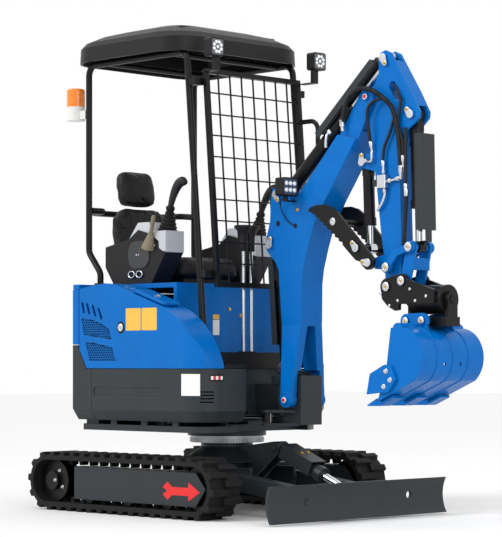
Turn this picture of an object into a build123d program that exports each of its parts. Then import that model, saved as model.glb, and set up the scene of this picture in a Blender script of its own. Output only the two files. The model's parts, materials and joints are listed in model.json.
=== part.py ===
from build123d import *
import os
from math import atan2, cos, degrees, hypot, pi, radians, sin

# Mini excavator, millimetres. +X forward, +Y to the operator's left, +Z up, ground at z = 0.
os.makedirs("parts", exist_ok=True)

# Clearances
seam = 3.0
pin_fit = 0.05
face_gap = 0.5
side_play = 4.0
seat_gap = 0.3

# Tracks
track_x = -435.0
overall_width = 1130.0
track_width = 180.0
wheel_reach = 499.0
track_height = 272.0
lug_height = 17.0
belt_thickness = 20.0
guide_height = 24.0
guide_width = 40.0
lug_count = 38
lug_length = 36.0
lug_rake = 76.0
lug_share = 0.56
lug_sink = 3.0

# Undercarriage
plate = 8.0
beam_width = 120.0
beam_low = 57.0
beam_high = 207.0
beam_rear = 169.0 - wheel_reach
beam_front = wheel_reach + 57.0
beam_box_front = wheel_reach - 114.0
beam_box_low = 106.0
roller_radius = 32.0
roller_xs = (-0.5 * wheel_reach, 0.04 * wheel_reach, 0.58 * wheel_reach)
wheel_width = 76.0
wheel_groove = 46.0
axle_radius = 20.0
motor_radius = 62.0
motor_length = 90.0
belly_half_x = 150.0
belly_half_y = 200.0
belly_low = 120.0
belly_high = 232.0
leg_width = 130.0
pedestal_radius = 121.0
pedestal_top = 320.0
cone_radius = 215.0

# Slew ring
swing_offset = 135.0
gear_radius = 170.0
gear_bore = 112.0
gear_top = 351.0
house_ring_radius = 183.0
deck_low = 376.0
deck_high = 404.0
skirt_low = 424.0

# Blade
blade_pivot_x = 400.0
blade_pivot_z = 155.0
blade_front_x = 993.0
blade_low = 8.0
blade_high = 168.0
blade_skin = 14.0
blade_dish = 24.0
blade_arm_y = 195.0
blade_arm_drop = 44.0
blade_arm_rise = 34.0
blade_tie_back = 190.0
blade_tie_depth = 60.0
blade_tie_drop = 34.0
blade_tie_height = 30.0
blade_arm_width = 60.0
blade_arm_height = 76.0
blade_ear = 14.0
blade_hole_radius = 17.0
blade_hole_y = 330.0
blade_hole_z = 96.0

# House
house_half_width = 500.0
house_front = 500.0
house_corner = 130.0
house_corner_left = 380.0
tail_radius = 720.0
skirt_wall = 18.0
skirt_high = 659.0
skirt_band = 50.0
skirt_draw = 26.0
skirt_tabs_right = (-150.0, 60.0, 270.0)
skirt_tabs_left = (-150.0, 60.0)
tab_size = 40.0
ledge_z = 550.0
weight_wall = 95.0
weight_front = -250.0
weight_step_x = -338.0
weight_high = 770.0
hood_wall = 20.0
hood_high = 1052.0
hood_split_x = -335.0
recess_half = 232.0
recess_back = 368.0
side_body_y = 362.0
left_body_front = -110.0
seat_box_front = 180.0
deck_thickness = 22.0
floor_thickness = 18.0
floor_front = 420.0
toe_height = 55.0
toe_thickness = 15.0

# Door hinge, slots, grilles and lock on the covers, as (x, z) seen from the right
door_hinge_out = 8.0
door_knuckle = 8.0
door_pin = 4.0
door_knuckle_zs = (810.0, 940.0)
door_knuckle_height = 40.0
door_ear = 12.0
vent_slots = (((-315.0, 966.0), (-303.0, 921.0)), ((-282.0, 961.0), (-264.0, 914.0)),
              ((-241.0, 952.0), (-221.0, 904.0)), ((-200.0, 937.0), (-177.0, 889.0)))
vent_width = 16.0
upper_grille = ((-321.0, 895.0), (-241.0, 886.0), (-168.0, 863.0), (-127.0, 844.0), (-107.0, 794.0),
                (-303.0, 816.0))
lower_grille = ((-292.0, 783.0), (-229.0, 779.0), (-103.0, 758.0), (-79.0, 696.0), (-262.0, 696.0))
grille_depth = 6.0
lock_point = (-43.0, 848.0)
lock_radius = 27.0
skirt_panel = (4.0, 554.0, 482.0, 46.0)
skirt_panel_left = (-64.0, 554.0, 300.0, 46.0)
corner_vent_turn = -36.6
corner_vent_zs = (514.0, 529.0, 544.0, 559.0)
corner_vent_width = 62.0
corner_vent_height = 6.0

# Fuel lid on the sloping shoulder
lid_rear = (24.0, 1006.0)
lid_front = (236.0, 938.0)
lid_thickness = 16.0
lid_width = 104.0
lid_lift = 3.5
lid_hinge_back = 7.5
lid_knuckle = 6.0
lid_pin = 3.5
filler_radius = 32.0

# Canopy
tube_radius = 15.0
post_y = 340.0
post_rear_x = -455.0
post_foot_x = -372.0
post_bend_z = 1210.0
post_front_top_x = 228.0
post_front_low_x = 350.0
tube_top_z = 2095.0
crossbar_z = 1410.0
crossbar_back = 120.0
crossbar_reach = 252.0
foot_radius = 30.0
front_foot_radius = 20.0
foot_thickness = 10.0
roof_rear_x = -522.0
roof_front_x = 258.0
roof_half_width = 430.0
roof_low = tube_top_z + 3.0
roof_steps = ((0.0, 0.0), (67.0, 3.0), (92.0, 22.0), (121.0, 80.0), (145.0, 165.0), (157.0, 280.0))
roof_rib_rise = 128.0
roof_wall = 12.0
roof_corner = 170.0

# Front guard
guard_low = (382.0, 1027.0)
guard_top = (304.0, tube_top_z - 82.0)
guard_half_width = 305.0
guard_bar = 22.0
guard_wire = 6.0
guard_columns = 7
guard_rows = 9
handle_high = 1815.0
handle_low = 1500.0
handle_reach = 440.0
handle_radius = 11.0

# Lamps and beacon
lamp_size = 82.0
lamp_depth = 46.0
lamp_y = 330.0
lamp_reach = 395.0
lamp_rise = 1.0
lamp_corner = 12.0
boom_lamp_at = (640.0, 1470.0)
boom_lamp_size = (50.0, 92.0, 82.0)
lamp_strip = 28.0
lamp_strip_wall = 6.0
lamp_strip_drop = 24.0
lamp_strip_reach = 60.0
beacon_x = -552.0
beacon_low = tube_top_z - 253.0
beacon_mid = tube_top_z - 187.0
beacon_high = tube_top_z - 100.0
beacon_radius = 44.0

# Seat and controls
seat_front = 60.0
seat_rear = -400.0
seat_half_width = 210.0
seat_low = 1085.0
seat_high = 1180.0
back_half_width = 185.0
back_thickness = 90.0
back_lean = 10.0
back_high = 1430.0
head_half_width = 115.0
head_low = 1446.0
head_high = 1597.0
head_thickness = 85.0
console_inner = 235.0
console_outer = 345.0
console_rear = -330.0
console_front = 91.0
console_low = 1135.0
console_rear_high = 1230.0
console_hump = (-98.0, -23.0)
console_high = 1333.0
console_shoulder = (-156.0, 1262.0)
console_box_rear = 0.0
console_box_low = 1194.0
console_box_high = 1290.0
console_foot = (-270.0, -5.0)
stick_tip_dx = 106.0
stick_high = 1515.0
stick_base_x = 44.0

# Engine
engine_rear = -430.0
engine_front = -20.0
engine_half_width = 210.0
engine_low = 470.0
engine_high = 900.0

# Swing post
kingpin_offset = 375.0
nose_radius = 48.0
nose_low = 448.0
nose_high = 592.0
kingpin_radius = 22.0
post_lug_radius = 58.0
post_lug = 34.0
post_half_width = 66.0
post_web_rear = 64.0
post_front = 172.0
swing_arm_y = 105.0
swing_arm_z = 440.0
swing_eye_half = 24.0
foot_reach = 116.0
foot_height = 522.0
foot_pin_radius = 20.0
foot_boss = 34.0

# Boom, from the foot pin
boom_half_width = 68.0
boom_head_half = 52.0
prong_top_inner = 24.0
prong_high = 334.0
prong_top_shift = -4.0
prong_top_depth = 118.0
prong_foot_depth = 60.0
fork_clear = 130.0
boom_seam_height = 1165.0
prong_inner = 72.0
prong_outer = 112.0
boom_cyl_base = (20.0, 141.0)
boom_cyl_pin = (-137.0, 698.0)
arm_cyl_base = (-96.0, 923.0)
boom_head = (432.0, 1318.0)
pin_radius = 16.0
fork_half = 40.0
fork_depth = 150.0

# Arm, from its pivot in the boom head
arm_half_width = 37.0
arm_cyl_pin = (91.0, 160.0)
bucket_cyl_base = (247.0, -95.0)
arm_tip = (140.0, -827.0)
rocker_pivot = (133.0, -744.0)
rocker_end = (260.0, -661.0)
thumb_pivot = (49.0, -722.0)
thumb_cyl_pin = (-20.0, -656.0)
thumb_cyl_base = (-34.0, -280.0)
hitch_link_pin = (85.0, 23.0)
rocker_boss = 25.0
rocker_half = 16.0
rocker_bow = 24.0

# Hydraulic cylinders
eye_width = 40.0
ear = 12.0
gland_length = 34.0
gland_step = 4.0
rod_fit = 0.4
neck_share = 2.3
guard_sheet = 6.0
guard_tongue = 18.0

# Thumb, from its pin
thumb_inner = 78.0
thumb_outer = 92.0
thumb_stay = (-205.0, 186.0)
stay_radius = 13.0
serrations = 8
serration_depth = 9.0
serration_from = (-335.0, 230.0)
serration_to = (-150.0, 82.0)

# Hitch and bucket, from the arm tip
hitch_inner = 60.0
hitch_lobe = ((-36.0, 0.0), (-27.0, -52.0), (6.0, -84.0), (48.0, -104.0), (70.0, -100.0), (72.0, -30.0))
hitch_outer = 75.0
tilt_drop = 58.0
tilt_rear = 104.0
tilt_front = 285.0
tilt_radius = 62.0
tilt_shaft = 18.0
tilt_stub = 26.0
head_cheek = 30.0
head_half_width_y = 45.0
bucket_half_width = 200.0
bucket_skin = 10.0
torque_tube = (172.0, -184.0)
torque_radius = 26.0
rib_ys = (-100.0, 0.0, 100.0)
rib_width = 10.0
rib_height = 3.0
drain_ys = (-50.0, 50.0)
drain_point = (296.0, -331.0)
drain_radius = 8.0
cutter_plate = 14.0
cutter_outline = ((29.0, -372.0), (110.0, -333.0), (148.0, -340.0), (175.0, -394.0), (128.0, -450.0),
                  (77.0, -452.0),
                  (11.0, -459.0))
tooth_ys = (-150.0, 0.0, 150.0)
tooth_width = 64.0
tooth_outline = ((130.0, -462.0), (61.7, -491.0), (61.7, -473.0), (38.0, -477.0), (-14.0, -505.0),
                 (-14.0, -509.0),
                 (56.0, -508.0), (136.0, -474.0))

# Side-view points of the carrying frame
axle_z = track_height / 2
carcass_radius = axle_z - lug_height
belt_inner = carcass_radius - belt_thickness
wheel_radius = belt_inner - face_gap
beam_outer_y = overall_width / 2 - 30.0
belt_mid_y = overall_width / 2 - track_width / 2
swing_x = track_x + swing_offset
kingpin_x = swing_x + kingpin_offset
foot = (kingpin_x + foot_reach, foot_height)


def plus(start, step):
    return (start[0] + step[0], start[1] + step[1])


def side_plane(y):
    """Side-view plane at a given y; a positive extrusion goes towards -Y."""
    return Plane.XZ.offset(-y)


def rod_plane(base, tip, y=0.0):
    """Plane at a base pin whose z axis runs along a cylinder to its tip and whose x axis is +Y."""
    span = hypot(tip[0] - base[0], tip[1] - base[1])
    along = ((tip[0] - base[0]) / span, 0, (tip[1] - base[1]) / span)
    return Plane(origin=(base[0], y, base[1]), x_dir=(0, 1, 0), z_dir=along)


def length_of(base, tip):
    return hypot(tip[0] - base[0], tip[1] - base[1])


pivot = plus(foot, boom_head)
tip = plus(pivot, arm_tip)
boom_base_pin = plus((kingpin_x, foot_height), boom_cyl_base)
boom_top_pin = plus(foot, boom_cyl_pin)
arm_base_pin = plus(foot, arm_cyl_base)
arm_top_pin = plus(pivot, arm_cyl_pin)
bucket_base_pin = plus(pivot, bucket_cyl_base)
rocker_pin = plus(pivot, rocker_pivot)
rocker_tip = plus(pivot, rocker_end)
thumb_pin = plus(pivot, thumb_pivot)
thumb_top_pin = plus(pivot, thumb_cyl_base)
thumb_low_pin = plus(pivot, thumb_cyl_pin)
hitch_pin = plus(tip, hitch_link_pin)
blade_pin = (track_x + blade_pivot_x, blade_pivot_z)
blade_base_pin = (track_x + 478.0, 299.0)
blade_low_pin = (track_x + 892.0, 130.0)
swing_base = (track_x + 60.0, -225.0)
swing_end = (kingpin_x, -swing_arm_y)


def cross_cylinder(point, radius, y_from, y_to, mode=Mode.ADD):
    """A cylinder along Y at a side-view point."""
    with Locations(Location((point[0], (y_from + y_to) / 2, point[1]), (90, 0, 0))):
        Cylinder(radius, y_to - y_from, mode=mode)


def block(x, y, z, mode=Mode.ADD):
    """A box given by its low and high values along each axis."""
    with Locations(((x[0] + x[1]) / 2, (y[0] + y[1]) / 2, (z[0] + z[1]) / 2)):
        Box(x[1] - x[0], y[1] - y[0], z[1] - z[0], mode=mode)


def barrel(base, end, radius, bore, length, depth):
    """Cylinder barrel with a bored eye at its base and a rod bore open at the gland."""
    neck = neck_share * radius
    with BuildPart(rod_plane(base, end)) as body:
        with Locations((0, 0, neck)):
            Cylinder(radius, length - neck, align=(Align.CENTER, Align.CENTER, Align.MIN))
        with Locations((0, 0, length - gland_length)):
            Cylinder(radius + gland_step, gland_length, align=(Align.CENTER, Align.CENTER, Align.MIN))
        Cylinder(radius, eye_width, rotation=(0, 90, 0))
        Box(eye_width, 1.5 * radius, neck + 1.0, align=(Align.CENTER, Align.CENTER, Align.MIN))
        Cylinder(pin_radius + pin_fit, eye_width, rotation=(0, 90, 0), mode=Mode.SUBTRACT)
        with Locations((0, 0, length - depth)):
            Cylinder(bore + rod_fit, depth, align=(Align.CENTER, Align.CENTER, Align.MIN),
                     mode=Mode.SUBTRACT)
    return body


def piston_rod(base, end, rod_radius, barrel_length, inside, boss, eye=eye_width):
    """Piston rod that starts inside the barrel and ends in an eye on the far pin."""
    span = length_of(base, end)
    with BuildPart(rod_plane(base, end)) as body:
        with Locations((0, 0, barrel_length - inside)):
            Cylinder(rod_radius, span - barrel_length + inside - boss * 0.5,
                     align=(Align.CENTER, Align.CENTER, Align.MIN))
        with Locations((0, 0, span)):
            Cylinder(boss, eye, rotation=(0, 90, 0))
            Cylinder(pin_radius, eye, rotation=(0, 90, 0), mode=Mode.SUBTRACT)
    return body


def rod_guard(base, end, start, stop, reach, half_width, depth, bulkhead):
    """Channel beside a cylinder, carried by the rod through a bulkhead near its eye."""
    with BuildPart(rod_plane(base, end)) as channel:
        block((-half_width, half_width), (reach, reach + guard_sheet), (start, stop))
        for low in (-half_width, half_width - guard_sheet):
            block((low, low + guard_sheet), (reach - depth, reach + 1.0), (start, stop))
        block((-guard_tongue, guard_tongue), (reach, reach + guard_sheet),
              (stop - 1.0, bulkhead + guard_sheet))
        block((-guard_tongue, guard_tongue), (guard_sheet, reach + 1.0), (bulkhead, bulkhead + guard_sheet))
    return channel


def guarded(rod, guard):
    with BuildPart() as both:
        add(rod.part)
        add(guard.part)
    return both


def save(builder, name):
    builder.part.label = name
    export_step(builder.part, f"parts/{name}.step")


# Rubber tracks: an endless belt with two staggered rows of lugs outside and guide teeth inside
loop_length = 4 * wheel_reach + 2 * pi * carcass_radius
lug_pitch = loop_length / lug_count


def loop_place(distance, radius):
    """Point and turn on the loop for a block that stands outwards at a given radius."""
    arc = pi * carcass_radius
    run = 2 * wheel_reach
    distance = distance % loop_length
    if distance < run:
        return (distance - wheel_reach, -radius, 180.0)
    distance = distance - run
    if distance < arc:
        turn = distance / carcass_radius - pi / 2
        return (wheel_reach + radius * cos(turn), radius * sin(turn), degrees(turn) - 90.0)
    distance = distance - arc
    if distance < run:
        return (wheel_reach - distance, radius, 0.0)
    turn = (distance - run) / carcass_radius + pi / 2
    return (-wheel_reach + radius * cos(turn), radius * sin(turn), degrees(turn) - 90.0)


def lug_row(phase, length, height, radius, rake):
    """Blocks around the loop, in the sketch plane, standing outwards from a radius."""
    for i in range(lug_count):
        x, z, turn = loop_place((i + phase) * lug_pitch, radius + height / 2)
        with Locations(Location((track_x + x, axle_z + z, 0), turn)):
            Trapezoid(length, height, rake)


def track(y_high, inner_first):
    lug_band = track_width * lug_share
    first_y = y_high - track_width + lug_band if inner_first else y_high
    second_y = y_high if inner_first else y_high - track_width + lug_band
    with BuildPart() as belt:
        with BuildSketch(side_plane(y_high)):
            with Locations((track_x, axle_z)):
                SlotCenterToCenter(2 * wheel_reach, 2 * carcass_radius)
                SlotCenterToCenter(2 * wheel_reach, 2 * belt_inner, mode=Mode.SUBTRACT)
        extrude(amount=track_width)
        for start, phase in ((first_y, 0.25), (second_y, 0.75)):
            with BuildSketch(side_plane(start)):
                lug_row(phase, lug_length, lug_height + lug_sink, carcass_radius - lug_sink, lug_rake)
            extrude(amount=lug_band)
        with BuildSketch(side_plane(y_high - track_width / 2 + guide_width / 2)):
            for i in range(lug_count):
                x, z, turn = loop_place((i + 0.5) * lug_pitch, belt_inner - (guide_height - lug_sink) / 2)
                with Locations(Location((track_x + x, axle_z + z, 0), turn + 180.0)):
                    Trapezoid(lug_length * 0.8, guide_height + lug_sink, lug_rake)
        extrude(amount=guide_width)
    return belt


track_left = track(overall_width / 2, False)
save(track_left, "track_left")
track_right = track(-overall_width / 2 + track_width, True)
save(track_right, "track_right")

# Undercarriage frame: belly box, four legs, pedestal, two side beams and the blade's brackets
beam_inner_y = beam_outer_y - beam_width
with BuildPart() as track_frame:
    block((track_x + beam_rear, track_x + beam_box_front), (beam_inner_y, beam_outer_y),
          (beam_box_low, beam_high))
    for y in (beam_outer_y, beam_inner_y + plate):
        with BuildSketch(side_plane(y)):
            Polygon((track_x + beam_rear, beam_low), (track_x + beam_front - 62.0, beam_low),
                    (track_x + beam_front, axle_z), (track_x + beam_front - 62.0, beam_high),
                    (track_x + beam_rear, beam_high), align=None)
        extrude(amount=plate)
    with BuildSketch(side_plane(beam_inner_y + plate)):
        with Locations((track_x - wheel_reach, axle_z)):
            Circle(motor_radius + 12.0)
        Polygon((track_x + beam_rear, beam_low + 20.0), (track_x + beam_rear, beam_high - 10.0),
                (track_x - wheel_reach, axle_z + 60.0), (track_x - wheel_reach, axle_z - 60.0), align=None)
    extrude(amount=plate)
    cross_cylinder((track_x - wheel_reach, axle_z), motor_radius, beam_inner_y - motor_length, beam_inner_y)
    for x in (-belly_half_x + leg_width / 2, belly_half_x - leg_width / 2):
        block((swing_x + x - leg_width / 2, swing_x + x + leg_width / 2), (0, beam_inner_y + plate),
              (belly_low, belly_high - 40.0))
    block((swing_x - belly_half_x, swing_x + belly_half_x), (0, belly_half_y), (belly_low, belly_high))
    block((swing_x, blade_pin[0] + 40.0), (blade_arm_y - blade_arm_width / 2 - 18.0 - blade_ear,
          blade_arm_y - blade_arm_width / 2 - 18.0), (belly_low, belly_high - 20.0))
    for y in (blade_arm_y - blade_arm_width / 2 - side_play,
              blade_arm_y + blade_arm_width / 2 + side_play + blade_ear):
        with BuildSketch(side_plane(y)):
            with Locations(blade_pin):
                Circle(40.0)
            Polygon((swing_x + belly_half_x - 60.0, belly_low), (blade_pin[0], blade_pin[1] - 40.0),
                    (blade_pin[0], blade_pin[1] + 40.0), (swing_x + belly_half_x - 60.0, belly_high - 25.0),
                    align=None)
        extrude(amount=blade_ear)
    block((swing_x + belly_half_x - 60.0, swing_x + belly_half_x),
          (belly_half_y - 40.0, blade_arm_y + blade_arm_width / 2 + side_play + blade_ear),
          (belly_low, belly_high - 40.0))
    cross_cylinder(blade_pin, pin_radius, blade_arm_y - blade_arm_width / 2 - side_play - blade_ear - 10.0,
                   blade_arm_y + blade_arm_width / 2 + side_play + blade_ear + 10.0)
    mirror(about=Plane.XZ)
    with Locations((swing_x, 0, belly_high)):
        Cone(cone_radius, pedestal_radius, pedestal_top - belly_high - 20.0,
             align=(Align.CENTER, Align.CENTER, Align.MIN))
        Cylinder(pedestal_radius, pedestal_top - belly_high, align=(Align.CENTER, Align.CENTER, Align.MIN))
    for y in (eye_width / 2 + side_play + ear, -eye_width / 2 - side_play):
        with BuildSketch(side_plane(y)):
            with Locations(blade_base_pin):
                Circle(32.0)
            Polygon((swing_x + 100.0, belly_low + 20.0), (swing_x + belly_half_x + 40.0, belly_low + 20.0),
                    (blade_base_pin[0] + 24.0, blade_base_pin[1] - 20.0),
                    (blade_base_pin[0], blade_base_pin[1] + 32.0),
                    (swing_x + 90.0, pedestal_top - 22.0), align=None)
        extrude(amount=ear)
    cross_cylinder(blade_base_pin, pin_radius, -eye_width / 2 - side_play - ear - 8.0,
                   eye_width / 2 + side_play + ear + 8.0)
save(track_frame, "track_frame")

# Slew ring on the pedestal
with BuildPart() as slew_ring:
    with Locations((swing_x, 0, pedestal_top)):
        Cylinder(gear_radius, gear_top - pedestal_top, align=(Align.CENTER, Align.CENTER, Align.MIN))
        Cylinder(gear_bore, gear_top - pedestal_top, align=(Align.CENTER, Align.CENTER, Align.MIN),
                 mode=Mode.SUBTRACT)
save(slew_ring, "slew_ring")

# Wheels inside the belts, on stub axles between the beam plates
inner_face = beam_inner_y + plate
outer_face = beam_outer_y - plate


def grooved_wheel(x, z, radius, groove_radius, inner, outer, mid):
    """Wheel with a middle groove that the belt's guide teeth run in."""
    cross_cylinder((x, z), radius, mid - wheel_width / 2, mid + wheel_width / 2)
    with BuildSketch(side_plane(mid + wheel_groove / 2)) as groove:
        with Locations((x, z)):
            Circle(radius + 1.0)
            Circle(groove_radius, mode=Mode.SUBTRACT)
    extrude(groove.sketch, amount=wheel_groove, mode=Mode.SUBTRACT)
    cross_cylinder((x, z), axle_radius, inner, outer)


guide_tip = belt_inner - guide_height - 4.0
with BuildPart() as idlers:
    grooved_wheel(track_x + wheel_reach, axle_z, wheel_radius, guide_tip, inner_face, outer_face,
                  belt_mid_y)
    mirror(about=Plane.XZ)
save(idlers, "idlers")

with BuildPart() as drive_sprockets:
    grooved_wheel(track_x - wheel_reach, axle_z, wheel_radius, guide_tip, inner_face,
                  belt_mid_y + wheel_width / 2 + 14.0, belt_mid_y)
    cross_cylinder((track_x - wheel_reach, axle_z), 44.0, belt_mid_y + wheel_width / 2,
                   belt_mid_y + wheel_width / 2 + 18.0)
    mirror(about=Plane.XZ)
save(drive_sprockets, "drive_sprockets")

roller_z = axle_z - belt_inner + roller_radius + face_gap
with BuildPart() as track_rollers:
    for x in roller_xs:
        cross_cylinder((track_x + x, roller_z), roller_radius, belt_mid_y + guide_width / 2 + 4.0,
                       belt_mid_y + wheel_width / 2)
        cross_cylinder((track_x + x, roller_z), roller_radius, belt_mid_y - wheel_width / 2,
                       belt_mid_y - guide_width / 2 - 4.0)
        cross_cylinder((track_x + x, roller_z), 7.0, inner_face, outer_face)
    mirror(about=Plane.XZ)
save(track_rollers, "track_rollers")

# Dozer blade: a dished mouldboard with ears for its cylinder, on two arms joined by a tie bar
blade_x = track_x + blade_front_x
blade_mid = (blade_low + blade_high) / 2
with BuildPart() as blade:
    with BuildSketch(side_plane(overall_width / 2)):
        with BuildLine():
            lower = (blade_x, blade_low)
            upper = (blade_x - 4.0, blade_high)
            ThreePointArc(lower, (blade_x - blade_dish, blade_mid), upper)
            Line(upper, (upper[0] - blade_skin, upper[1]))
            ThreePointArc((upper[0] - blade_skin, upper[1]), (blade_x - blade_dish - blade_skin, blade_mid),
                          (lower[0] - blade_skin, lower[1]))
            Line((lower[0] - blade_skin, lower[1]), lower)
        make_face()
    extrude(amount=overall_width)
    for y in (-blade_hole_y, blade_hole_y):
        with Locations(Location((blade_x, y, blade_hole_z), (0, 90, 0))):
            Cylinder(blade_hole_radius, 160.0, mode=Mode.SUBTRACT)
    arm_end = blade_x - blade_dish - blade_skin + 4.0
    for y in (eye_width / 2 + side_play + ear, -eye_width / 2 - side_play):
        with BuildSketch(side_plane(y)):
            with Locations(blade_low_pin):
                Circle(32.0)
            Polygon((blade_low_pin[0] - 20.0, blade_low_pin[1] - 26.0), (arm_end, blade_low + 14.0),
                    (arm_end, blade_high - 14.0), (blade_low_pin[0], blade_low_pin[1] + 32.0), align=None)
        extrude(amount=ear)
save(blade, "blade")


def blade_arm(y):
    with BuildPart() as bar:
        with BuildSketch(side_plane(y + blade_arm_width / 2)):
            with Locations(blade_pin):
                Circle(blade_arm_height / 2)
            Polygon((blade_pin[0], blade_pin[1] - blade_arm_height / 2), (arm_end, blade_mid - blade_arm_drop),
                    (arm_end, blade_mid + blade_arm_rise), (blade_pin[0], blade_pin[1] + blade_arm_height / 2),
                    align=None)
            with Locations(blade_pin):
                Circle(pin_radius + pin_fit, mode=Mode.SUBTRACT)
        extrude(amount=blade_arm_width)
        add(blade.part, mode=Mode.SUBTRACT)
    return bar


tie_half = blade_arm_y - blade_arm_width / 2 - face_gap
with BuildPart() as blade_arms:
    add(blade_arm(-blade_arm_y).part)
    add(blade_arm(blade_arm_y).part)
    block((arm_end - blade_tie_back, arm_end - blade_tie_back + blade_tie_depth), (-tie_half, tie_half),
          (blade_mid - blade_tie_drop, blade_mid - blade_tie_drop + blade_tie_height))
save(blade_arms, "blade_arms")

blade_barrel_length = 300.0
cover_half = 46.0
cover_reach = 40.0
cover_drop = 22.0
cover_start = 50.0
cover_stop = 250.0
blade_barrel = barrel(blade_base_pin, blade_low_pin, 32.0, 17.0, blade_barrel_length, 240.0)
with BuildPart(rod_plane(blade_base_pin, blade_low_pin)) as blade_cover:
    block((-cover_half, cover_half), (cover_reach, cover_reach + guard_sheet), (cover_start, cover_stop))
    for low in (-cover_half, cover_half - guard_sheet):
        block((low, low + guard_sheet), (-cover_drop, cover_reach + 1.0), (cover_start, cover_stop))
    block((-cover_half, cover_half), (-cover_drop, cover_reach + 1.0),
          (cover_start, cover_start + guard_sheet))
blade_barrel = guarded(blade_barrel, blade_cover)
save(blade_barrel, "blade_cylinder_barrel")
blade_rod = piston_rod(blade_base_pin, blade_low_pin, 17.0, blade_barrel_length, 110.0, 28.0)
save(blade_rod, "blade_cylinder_rod")


hood_low = skirt_high + seam


# House plan: straight sides, round front corners and a tail that follows the swing circle
def house_plan(inset, mode=Mode.ADD):
    front = track_x + house_front - inset
    rear = swing_x - tail_radius
    half = house_half_width - inset
    with BuildSketch(mode=Mode.PRIVATE) as plan:
        with Locations(((front + rear) / 2, 0)):
            Rectangle(front - rear, 2 * half)
        fillet(plan.vertices().group_by(Axis.X)[-1].sort_by(Axis.Y)[0], house_corner - inset)
        fillet(plan.vertices().group_by(Axis.X)[-1].sort_by(Axis.Y)[-1], house_corner_left - inset)
        with Locations((swing_x, 0)):
            Circle(tail_radius - inset, mode=Mode.INTERSECT)
    add(plan.sketch, mode=mode)


with BuildPart() as house_frame:
    with BuildSketch(Plane.XY.offset(deck_low)):
        house_plan(skirt_wall + 30.0)
        with Locations((track_x + (recess_back + house_front) / 2 + 20.0, 0)):
            Rectangle(house_front - recess_back + 40.0, 2 * recess_half, mode=Mode.SUBTRACT)
    extrude(amount=deck_high - deck_low)
    with Locations((swing_x, 0, gear_top + face_gap)):
        Cylinder(house_ring_radius, deck_low - gear_top - face_gap + 1.0,
                 align=(Align.CENTER, Align.CENTER, Align.MIN))
    block((track_x + recess_back - 40.0, track_x + recess_back), (-recess_half, recess_half),
          (deck_high - 2.0, hood_low - seat_gap))
    with BuildSketch(Plane.XY.offset(deck_high - 2.0)):
        house_plan(weight_wall - 33.0)
        house_plan(weight_wall - 7.0, mode=Mode.SUBTRACT)
        with Locations((track_x + weight_front - 20.0 + tail_radius, 0)):
            Rectangle(2 * tail_radius, 3 * house_half_width, mode=Mode.SUBTRACT)
    extrude(amount=skirt_low - seat_gap - deck_high + 2.0)
    tab_outer = house_half_width - skirt_wall - seat_gap
    tab_inner = house_half_width - skirt_wall - 44.0
    post_in = side_body_y + hood_wall + seat_gap
    for sign in (-1, 1):
        for x in skirt_tabs_left if sign > 0 else skirt_tabs_right:
            tab = (track_x + x - tab_size / 2, track_x + x + tab_size / 2)
            block(tab, sorted((sign * tab_inner, sign * (tab_inner + 12.0))), (deck_high - 2.0, ledge_z))
            block(tab, sorted((sign * tab_inner, sign * tab_outer)), (ledge_z - 14.0, ledge_z))
        post_x = track_x + (left_body_front - 100.0 if sign > 0 else seat_box_front - 60.0)
        block((post_x - tab_size / 2, post_x + tab_size / 2),
              sorted((sign * post_in, sign * (post_in + 18.0))),
              (deck_high - 2.0, hood_low + 98.0))
        seat_post = (60.0, 300.0) if sign > 0 else (-300.0, -250.0)
        block((track_x + seat_box_front - hood_wall, track_x + seat_box_front), seat_post,
              (deck_high - 2.0, hood_low - seat_gap))
    block((track_x + recess_back - 60.0, track_x + recess_back + 20.0), (-recess_half + 10.0, -90.0),
          (swing_arm_z - 32.0, swing_arm_z + 34.0), mode=Mode.SUBTRACT)
    block((track_x + recess_back - 10.0, kingpin_x), (-nose_radius, nose_radius), (nose_low, nose_high))
    with Locations((kingpin_x, 0, nose_low)):
        Cylinder(nose_radius, nose_high - nose_low, align=(Align.CENTER, Align.CENTER, Align.MIN))
        Cylinder(kingpin_radius + pin_fit, nose_high - nose_low,
                 align=(Align.CENTER, Align.CENTER, Align.MIN), mode=Mode.SUBTRACT)
    with Locations((swing_base[0], swing_base[1], deck_high - 2.0)):
        Cylinder(pin_radius, swing_arm_z + swing_eye_half - deck_high + 8.0,
                 align=(Align.CENTER, Align.CENTER, Align.MIN))
save(house_frame, "house_frame")

def tapered_plan(inset, high, draw=skirt_draw):
    """The house plan from the skirts' lower edge up, drawn in over its lower band."""
    with BuildPart() as solid:
        with BuildSketch(Plane.XY.offset(skirt_low)):
            house_plan(inset + draw)
        with BuildSketch(Plane.XY.offset(skirt_low + skirt_band)):
            house_plan(inset)
        loft()
        with BuildSketch(Plane.XY.offset(skirt_low + skirt_band)):
            house_plan(inset)
        extrude(amount=high - skirt_low - skirt_band)
    return solid


with BuildPart() as counterweight:
    add(tapered_plan(0.0, weight_high).part)
    with BuildSketch(Plane.XY.offset(skirt_low)):
        house_plan(weight_wall)
    extrude(amount=weight_high - skirt_low, mode=Mode.SUBTRACT)
    block((track_x + weight_front, track_x + house_front + 50.0), (-600.0, 600.0),
          (skirt_low - 50.0, weight_high + 50.0),
          mode=Mode.SUBTRACT)
    with BuildSketch(Plane.XZ):
        Polygon((track_x + weight_front + 20.0, skirt_high),
                (track_x + weight_front + 20.0, weight_high + 20.0),
                (track_x + weight_step_x - 12.0, weight_high + 20.0),
                (track_x + weight_step_x - 12.0, weight_high),
                (track_x + weight_step_x + 48.0, skirt_high), align=None)
    extrude(amount=house_half_width + 20.0, both=True, mode=Mode.SUBTRACT)
save(counterweight, "counterweight")


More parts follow.
